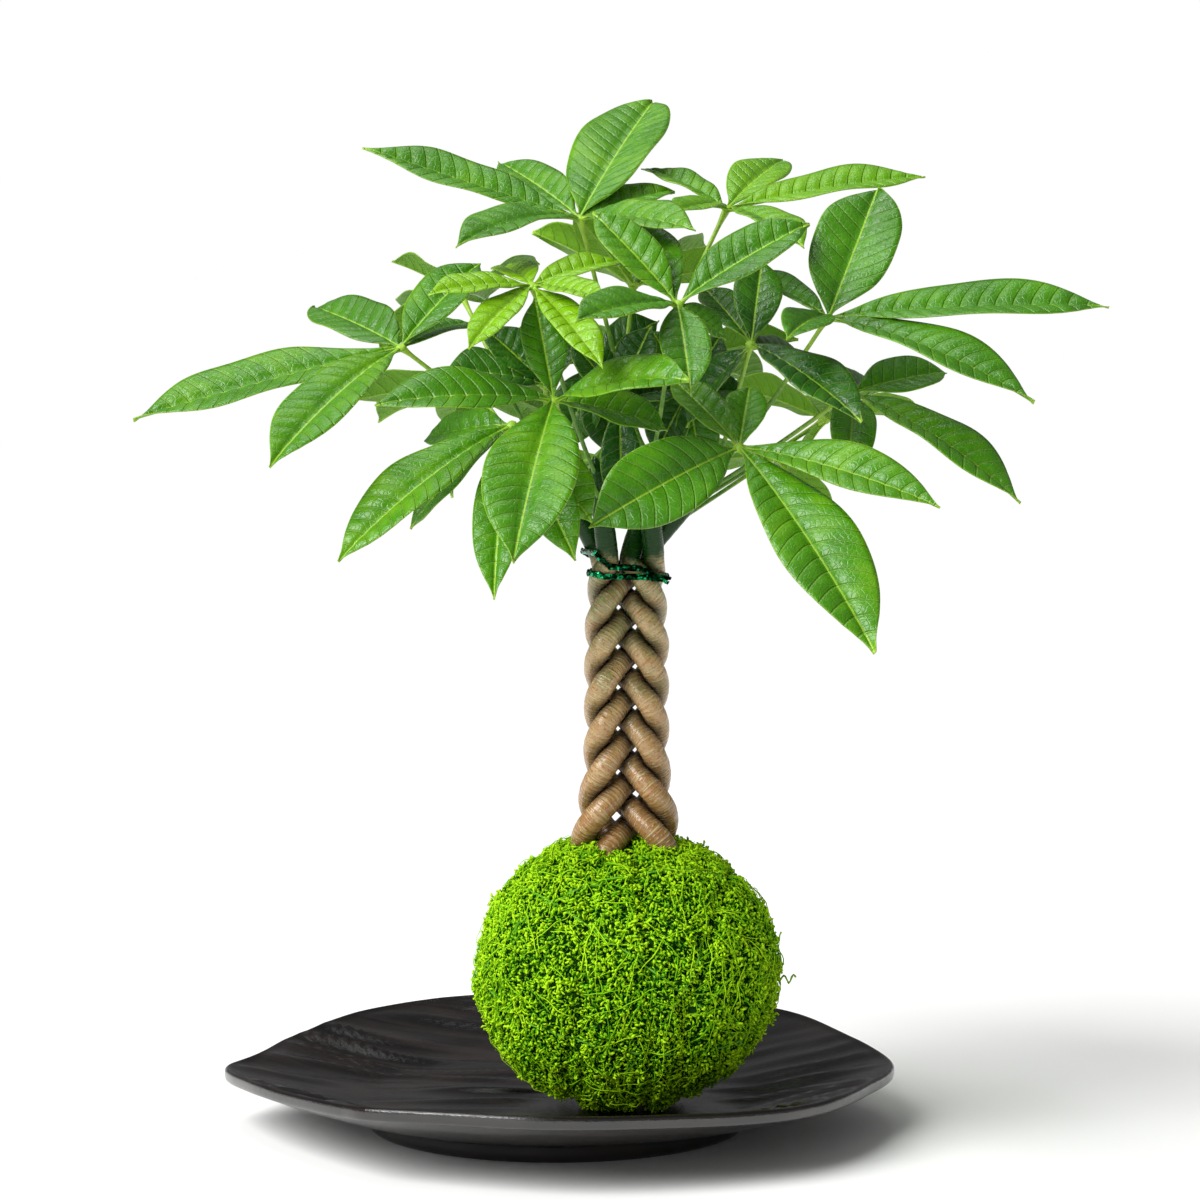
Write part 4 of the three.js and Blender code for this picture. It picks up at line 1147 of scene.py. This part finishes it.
class TREE_OT_thread(bpy.types.Operator):
    """Models the thin thread that binds the moss, in loops that sink into it in places"""

    bl_idname = "tree.thread"
    bl_label = "Add binding thread"

    def execute(self, context):
        points, faces = [], []
        for number, (tilt, towards) in enumerate(THREAD_LOOPS):
            turn = Matrix.Rotation(math.radians(towards), 3, "Z")
            turn = turn @ Matrix.Rotation(math.radians(tilt), 3, "X")
            path = []
            for i in range(THREAD_STEPS):
                angle = TURN * i / THREAD_STEPS
                direction = turn @ Vector((math.cos(angle), math.sin(angle), 0))
                depth = 0.1 + 1.5 * noise.noise(direction * 6 + Vector((number, 0, 0)))
                path.append(ball_surface(direction, depth))
            add_tube(points, faces, path, [THREAD_RADIUS] * len(path), 6, closed=True)
        material = thread_material(context.scene.tree_moss)
        thread = mesh_piece("binding_thread_loops", points, faces, material)
        settle(thread, "binding_thread")
        return {"FINISHED"}


class TREE_OT_stems(bpy.types.Operator):
    """Models the braided stems, pressed against each other where they cross"""

    bl_idname = "tree.stems"
    bl_label = "Add stems"

    def pressed(self, centre, directions, radius, others):
        """How far a stem reaches in each direction: less where another stem presses on it."""
        reach = np.full(len(directions), radius)
        across = others - np.array(centre)
        distance = np.linalg.norm(across, axis=1)
        near = (distance < NEIGHBOUR_REACH) & (np.abs(across[:, 2]) < NEIGHBOUR_CLIMB)
        if near.any():
            facing = directions @ (across[near] / distance[near, None]).T
            limit = (distance[near] / 2 - PRESS_GAP) / np.maximum(facing, 0.05)
            reach = np.minimum(reach, np.where(facing > 0.05, limit, np.inf).min(axis=1))
        return reach

    def soften(self, reaches):
        """Evens out the reaches round the stem and along it."""
        for _ in range(2):
            reaches = (np.roll(reaches, 1, 1) + 2 * reaches + np.roll(reaches, -1, 1)) / 4
            inner = (reaches[:-2] + 2 * reaches[1:-1] + reaches[2:]) / 4
            reaches[1:-1] = inner
        return reaches

    def crevices(self, points, others):
        """How much grime and painted shade each point gets, from how near the next stem comes."""
        shade = np.zeros((len(points), 3))
        for i in range(0, len(points), 1000):
            block = points[i:i + 1000]
            nearest = np.linalg.norm(block[:, None] - others[None], axis=2).min(axis=1)
            room = nearest - np.array([stem_radius(z) for z in block[:, 2]])
            shade[i:i + 1000, 0] = 0.98 * np.clip(1 - room / CREVICE_REACH, 0, 1) ** 1.1
        return shade

    def stem(self, stem, lines, wrinkle, material):
        """One stem: rings of points round its middle line, drawn in where it meets another."""
        heights = [ROOTED_DEPTH]
        while heights[-1] < STEM_TOPS[stem].z - 1:
            climb = (stem_point(stem, heights[-1] + 1) - stem_point(stem, heights[-1])).length
            heights.append(heights[-1] + RING_STEP / climb)
        others = np.concatenate([line for number, line in enumerate(lines) if number != stem])
        angles = np.arange(STEM_SIDES) * 2 * math.pi / STEM_SIDES
        centres, frames, reaches = [], [], []
        for height in heights:
            centre = stem_point(stem, height)
            along = stem_point(stem, height + 0.5) - stem_point(stem, height - 0.5)
            along.normalize()
            binormal = along.cross(Vector((1, 0, 0))).normalized()
            normal = binormal.cross(along)
            directions = np.outer(np.cos(angles), normal) + np.outer(np.sin(angles), binormal)
            centres.append(np.array(centre))
            frames.append(directions)
            reaches.append(self.pressed(centre, directions, stem_radius(height), others))
        reaches = self.soften(np.array(reaches))
        points, bark = [], []
        travelled = 0.0
        for i, centre in enumerate(centres):
            travelled += 0 if i == 0 else float(np.linalg.norm(centre - centres[i - 1]))
            left = (len(centres) - 1 - i) / ROUNDED_RINGS
            rounding = min(1.0, math.sqrt(max(0.02, left)))
            for j, angle in enumerate(angles):
                c, s = math.cos(angle), math.sin(angle)
                folds = noise.noise(Vector((c * 1.3, s * 1.3, travelled * 0.45 + stem * 31)))
                lumps = noise.noise(Vector((c * 0.8, s * 0.8, travelled * 0.07 + stem * 17)))
                reach = reaches[i, j] * (1 + 0.035 * lumps) + wrinkle * folds
                points.append(centre + frames[i][j] * reach * rounding)
                bark.append((c * 4.5, s * 4.5, travelled + stem * 400))
        crevice = self.crevices(np.array(points), others)
        faces = ring_faces(len(centres), STEM_SIDES)
        name = f"bark_stem_{stem + 1}"
        return mesh_piece(name, points, faces, material, bark=bark, crevice=crevice)

    def execute(self, context):
        settings = context.scene.tree_stems
        material = bark_material(settings)
        lines = []
        for stem in range(STEMS):
            heights = np.arange(ROOTED_DEPTH, STEM_TOPS[stem].z, 0.8)
            lines.append(np.array([stem_point(stem, height) for height in heights]))
        for stem in range(STEMS):
            piece = self.stem(stem, lines, settings.wrinkle_height / MM, material)
            settle(piece, f"stem_{stem + 1}")
        return {"FINISHED"}


class TREE_OT_tie(bpy.types.Operator):
    """Models the foil-covered wire wound twice round the stems, with its twisted ends"""

    bl_idname = "tree.tie"
    bl_label = "Add wire tie"

    def spot(self, degrees, turn, proud):
        """A point of the wire, drawn tight over the outermost stem in one direction."""
        angle = math.radians(degrees)
        middle_height, drop, _ = TIE_TURNS[turn]
        height = middle_height - drop / 2 * math.cos(angle)
        outward = Vector((math.cos(angle), math.sin(angle), 0))
        spots = []
        for stem in range(STEMS):
            for nearby in (-2, 0, 2):
                middle = stem_point(stem, height + nearby)
                spots.append(Vector((middle.x, middle.y, height)))
        farthest = max(spots, key=lambda point: point.dot(outward))
        return farthest + outward * (stem_radius(height) + proud)

    def add_band(self, points, faces, path, half, rng, closed=False):
        """Adds a crumpled foil band along a path, upright, with its own flat facets."""
        faces += ring_faces(len(path), BAND_SIDES, closed, len(points))
        for centre, along in zip(path, headings(path, closed)):
            out = Vector((centre.x - AXIS.x, centre.y - AXIS.y, 0)).normalized()
            up = along.cross(out).normalized()
            lean = rng.uniform(-0.5, 0.5)
            for j in range(BAND_SIDES):
                angle = TURN * j / BAND_SIDES
                reach = half * math.cos(angle + lean * 0.4) * rng.uniform(0.72, 1.1)
                depth = BAND_DEPTH * math.sin(angle + lean) * rng.uniform(0.55, 1.25)
                points.append(centre + up * reach + out * depth)

    def execute(self, context):
        settings = context.scene.tree_tie
        rng = random.Random(TIE_SEED)
        half = settings.band / MM / 2
        points, faces = [], []
        for turn, (_, _, proud) in enumerate(TIE_TURNS):
            path = []
            for i in range(TIE_STEPS):
                dent = 0.25 * noise.noise(Vector((i * 0.35, turn, 0)))
                path.append(self.spot(360 * i / TIE_STEPS, turn, proud + dent))
            evened = []
            for i in range(TIE_STEPS):
                evened.append((path[i - 1] + path[i] * 2 + path[(i + 1) % TIE_STEPS]) / 4)
            self.add_band(points, faces, evened, half, rng, closed=True)
        for degrees, turn, proud, last, bow in TIE_ENDS:
            first = self.spot(degrees, turn, proud)
            path = []
            for i in range(END_STEPS):
                share = i / (END_STEPS - 1)
                sag = Vector(bow) * math.sin(math.pi * i / (END_STEPS - 1)) * 0.35
                path.append(first.lerp(Vector(last), share) + sag)
            self.add_band(points, faces, path, half * END_WIDTH, rng)
        tie = mesh_piece("foil_tie", points, faces, foil_material(settings))
        tie.data.polygons.foreach_set("use_smooth", np.zeros(len(tie.data.polygons), bool))
        settle(tie, "wire_tie")
        return {"FINISHED"}


class Midrib:
    """The middle line of a leaflet: an arch from the leaf's hub to the leaflet's tip."""

    def __init__(self, leaf, leaflet, roll):
        right, back, up, self.width, arch = leaflet
        reach = Vector((right, back, up))
        self.length = reach.length
        self.hub = Vector(leaf.hub)
        along = reach.normalized()
        face = Vector(leaf.face)
        face = (face - along * along.dot(face)).normalized()
        face.rotate(Matrix.Rotation(math.radians(roll), 3, along))
        self.across = along.cross(face)
        self.bow = self.hub + reach * 0.5 + face * 2 * arch * reach.length
        self.tip = self.hub + reach

    def point(self, share):
        start = self.hub * (1 - share) ** 2
        return start + self.bow * 2 * share * (1 - share) + self.tip * share * share

    def normal(self, share):
        heading = (self.bow - self.hub) * (1 - share) + (self.tip - self.bow) * share
        return self.across.cross(heading.normalized()).normalized()


class TREE_OT_leaves(bpy.types.Operator):
    """Models every leaf: a long stalk, a hub, and leaflets with ribs and quilted blades"""

    bl_idname = "tree.leaves"
    bl_label = "Add leaves"

    def fine(self, outline):
        """The outline's stations, with smooth steps between them."""
        stations = [(place, half, 0) for place, half in outline]
        places = [catmull_rom(stations, i / OUTLINE_STEPS) for i in range(OUTLINE_STEPS + 1)]
        return [p[0] for p in places], [max(p[1], 0) for p in places]

    def blade(self, midrib, outline, tone, seed, settings, materials):
        """One leaflet's blade, bent from a flat grid along its midrib."""
        length, width = midrib.length, midrib.width
        rows = int(min(max(length / BLADE_ROW, FEWEST_ROWS), MOST_ROWS))
        deselect_all()
        bpy.ops.mesh.primitive_grid_add(x_subdivisions=BLADE_COLUMNS, y_subdivisions=rows, size=2)
        piece = bpy.context.active_object
        mesh = piece.data
        flat = np.empty(len(mesh.vertices) * 3)
        mesh.vertices.foreach_get("co", flat)
        sides, shares = flat[0::3], (flat[1::3] + 1) / 2
        aside = np.abs(sides)
        halves = np.maximum(np.interp(shares, *self.fine(outline)) * width / 2, NARROWEST)
        rng = random.Random(seed)
        ripple, phase = rng.uniform(1.6, 2.6), rng.uniform(0, 6.28)
        twist = rng.uniform(-0.12, 0.12)
        veins = round(min(max(length / VEIN_SPACING, FEWEST_VEINS), MOST_VEINS))
        reached = aside * halves
        # Side veins leave the midrib at about 70 degrees and curve towards the tip.
        slant = (reached * 0.34 + 0.016 * reached ** 2) / length
        count = (shares - slant) * veins * (1.05 - 0.1 * shares)
        # The blade rises from its midrib, bulges between its veins and waves along its margin.
        rise = halves * math.sin(FOLD) * (1.35 * aside - 0.42 * sides ** 2)
        body = np.minimum(1, aside * 5) * (1 - aside ** 3)
        body *= np.clip(halves / (width * 0.2), 0, 1)
        swell = np.abs(np.sin(np.pi * count)) ** 0.6
        quilt = settings.quilting / MM * swell * body * (0.75 + width / 60)
        wave = 0.028 * width * np.sin(TURN * ripple * shares + phase + sides) * sides ** 2
        wave += 0.24 * width * twist * sides * shares
        groove = -0.35 * np.exp(-(reached / 0.9) ** 2)
        heights = rise + quilt + wave + groove
        reaches = sides * halves * (math.cos(FOLD) + 0.02 * aside)
        points = []
        for share, reach, height in zip(shares.tolist(), reaches.tolist(), heights.tolist()):
            normal = midrib.normal(share)
            points.append(midrib.point(share) + midrib.across * reach + normal * height)
        mesh.vertices.foreach_set("co", (np.array(points) * MM).ravel())
        margins = [sides * halves, (1 - aside) * halves, count]
        own = [np.full(len(sides), value) for value in (tone, seed % 97)]
        add_layer(mesh, "blade", np.stack(margins, axis=1))
        add_layer(mesh, "lie", np.stack([shares * length, *own], axis=1))
        for material in materials:
            mesh.materials.append(material)
        mesh.polygons.foreach_set("use_smooth", np.ones(len(mesh.polygons), bool))
        shell = piece.modifiers.new("thickness", "SOLIDIFY")
        shell.thickness = settings.thickness
        shell.offset = -1
        shell.material_offset = 1
        shell.material_offset_rim = 0
        bpy.ops.object.modifier_apply(modifier="thickness")
        return piece

    def rib(self, midrib, material):
        """A leaflet's midrib: thick at the hub, fine at the tip, proud of the blade underneath."""
        path, radii = [], []
        for i in range(RIB_STEPS):
            share = i / (RIB_STEPS - 1) * 0.985
            radius = mix(0.62, 0.17, share ** 0.7) * mix(0.7, 1.15, min(midrib.length / 110, 1))
            radius += 0.5 * math.exp(-(share * midrib.length / 3.2) ** 2)
            path.append(midrib.point(share) - midrib.normal(share) * (0.42 + radius * 0.35))
            radii.append(radius)
        points, faces = [], []
        add_tube(points, faces, path, radii, RIB_SIDES)
        return mesh_piece("rib", points, faces, material)

    def stalk(self, leaf, material):
        """The long stalk from the stem up to the hub, swollen at both ends."""
        hub = Vector(leaf.hub)
        start = stem_point(leaf.stem, STEM_TOPS[leaf.stem].z - leaf.below)
        rise = hub.z - start.z
        lean = Vector((hub.x - start.x, hub.y - start.y, 0))
        second = start + lean * 0.3 + Vector((0, 0, 0.12 * rise + 5))
        third = hub - lean * 0.33 - Vector((0, 0, 0.35 * max(rise, 20)))
        path, radii, lie = [], [], []
        for i in range(STALK_STEPS):
            t = i / (STALK_STEPS - 1)
            low = start * (1 - t) ** 3 + second * 3 * t * (1 - t) ** 2
            path.append(low + third * 3 * t * t * (1 - t) + hub * t ** 3)
            swelling = 0.75 * math.exp(-(t / 0.06) ** 2) + 0.8 * math.exp(-((1 - t) / 0.045) ** 2)
            radii.append(0.85 + swelling)
            lie += [(t, 0, 0)] * STALK_SIDES
        points, faces = [], []
        add_tube(points, faces, path, radii, STALK_SIDES)
        return mesh_piece("stalk", points, faces, material, lie=lie)

    def hub(self, leaf, material):
        """The knob that the leaflets spread from."""
        deselect_all()
        bpy.ops.mesh.primitive_uv_sphere_add(segments=18, ring_count=12, radius=1)
        knob = bpy.context.active_object
        hub, face = Vector(leaf.hub), Vector(leaf.face).normalized()
        for vertex in knob.data.vertices:
            bumps = 1 + 0.14 * noise.noise(vertex.co * 2.2 + hub)
            flat = vertex.co - face * vertex.co.dot(face) * 0.35
            vertex.co = (hub + flat * HUB_RADIUS * bumps - face * 0.5) * MM
        knob.data.materials.append(material)
        bpy.ops.object.shade_smooth()
        return knob

    def execute(self, context):
        settings = context.scene.tree_leaves
        upper = blade_material("Waxy leaf blade", settings)
        under = blade_material("Dull leaf underside", settings, under=True)
        ribs, stalks = rib_material(settings), stalk_material(settings)
        rng = random.Random(LEAF_SEED)
        for name, facts in LEAVES.items():
            leaf = Leaf(*facts)
            pieces = []
            for number, leaflet in enumerate(leaf.leaflets):
                which = (name, number)
                outline = ROUNDED if which in BLUNT_LEAFLETS else POINTED
                midrib = Midrib(leaf, leaflet, ROLLED_LEAFLETS.get(which, 0))
                tone = leaf.tone + rng.uniform(-0.07, 0.07)
                seed = rng.randrange(10000)
                pieces.append(self.blade(midrib, outline, tone, seed, settings, [upper, under]))
                pieces.append(self.rib(midrib, ribs))
            pieces += [self.stalk(leaf, stalks), self.hub(leaf, ribs)]
            whole = join(name + "_blades", pieces)
            settle(whole, name)
        return {"FINISHED"}


class TREE_OT_stage(bpy.types.Operator):
    """Lays a plain pale floor and sets soft studio lights"""

    bl_idname = "tree.stage"
    bl_label = "Set stage"

    def lay_floor(self, settings):
        deselect_all()
        bpy.ops.mesh.primitive_circle_add(vertices=128, radius=FLOOR_SIZE, fill_type="NGON")
        floor = bpy.context.active_object
        floor.name = floor.data.name = "floor"
        material, tree, shader = new_material("Matt painted floor")
        paint = {"Base Color": settings.floor, "Roughness": 0.9, "Specular IOR Level": 0.1}
        fill(tree, shader, paint)
        floor.data.materials.append(material)

    def hang(self, name, kind, power, place, direction):
        """A light that shines in one direction."""
        lamp = bpy.data.lights.new(name, kind)
        lamp.energy = power
        holder = bpy.data.objects.new(name, lamp)
        bpy.context.scene.collection.objects.link(holder)
        holder.location = place
        holder.rotation_euler = Vector(direction).to_track_quat("-Z", "Y").to_euler()
        return lamp

    def hang_softbox(self, name, power, size, place, target):
        """A round area light that faces a target."""
        lamp = self.hang(name, "AREA", power, place, Vector(target) - Vector(place))
        lamp.shape = "DISK"
        lamp.size = size

    def surround(self, settings):
        """A backdrop that is white to the camera, and lights the tree less than it shows."""
        world = bpy.data.worlds.new("studio surround")
        world.use_nodes = True
        tree = world.node_tree
        seen = add_node(tree, "LightPath")["Is Camera Ray"]
        strength = add_node(tree, "MapRange", (seen, 0, 1, settings.surround, 1))[0]
        fill(tree, tree.nodes["Background"], {"Color": (1, 1, 1), "Strength": strength})
        return world

    def execute(self, context):
        scene = context.scene
        settings = scene.tree_stage
        self.lay_floor(settings)
        key = self.hang("key light", "SUN", settings.key_strength, KEY_PLACE, KEY_DIRECTION)
        key.angle = settings.key_softness
        self.hang_softbox("fill light", settings.fill_power, *FILL_LIGHT)
        self.hang_softbox("overhead light", settings.overhead_power, *OVERHEAD_LIGHT)
        scene.world = self.surround(settings)
        scene.view_settings.view_transform = "Standard"
        scene.view_settings.look = "None"
        return {"FINISHED"}


OPERATORS = (
    TREE_OT_camera, TREE_OT_tray, TREE_OT_soil, TREE_OT_moss, TREE_OT_thread, TREE_OT_stems,
    TREE_OT_tie, TREE_OT_leaves, TREE_OT_stage,
)
SETTINGS = {
    "tree_tray": TraySettings,
    "tree_moss": MossSettings,
    "tree_stems": StemSettings,
    "tree_tie": TieSettings,
    "tree_leaves": LeafSettings,
    "tree_stage": StageSettings,
}


class TREE_PT_panel(bpy.types.Panel):
    """Lists the pieces of the tree and what can be changed about them"""

    bl_idname = "TREE_PT_panel"
    bl_label = "Money Tree"
    bl_space_type = "VIEW_3D"
    bl_region_type = "UI"
    bl_category = "Money Tree"

    def draw(self, context):
        layout = self.layout
        for operator in OPERATORS:
            layout.operator(operator.bl_idname)
        for label, group in SETTINGS.items():
            box = layout.box()
            for setting in group.__annotations__:
                box.prop(getattr(context.scene, label), setting)


def register():
    for group in SETTINGS.values():
        bpy.utils.register_class(group)
    for label, group in SETTINGS.items():
        setattr(bpy.types.Scene, label, bpy.props.PointerProperty(type=group))
    for operator in OPERATORS:
        bpy.utils.register_class(operator)
    bpy.utils.register_class(TREE_PT_panel)


def unregister():
    bpy.utils.unregister_class(TREE_PT_panel)
    for operator in reversed(OPERATORS):
        bpy.utils.unregister_class(operator)
    for label, group in SETTINGS.items():
        delattr(bpy.types.Scene, label)
        bpy.utils.unregister_class(group)


def main():
    register()
    bpy.ops.tree.camera()
    bpy.ops.tree.tray()
    bpy.ops.tree.soil()
    bpy.ops.tree.moss()
    bpy.ops.tree.thread()
    bpy.ops.tree.stems()
    bpy.ops.tree.tie()
    bpy.ops.tree.leaves()
    bpy.ops.tree.stage()


if __name__ == "__main__":
    main()
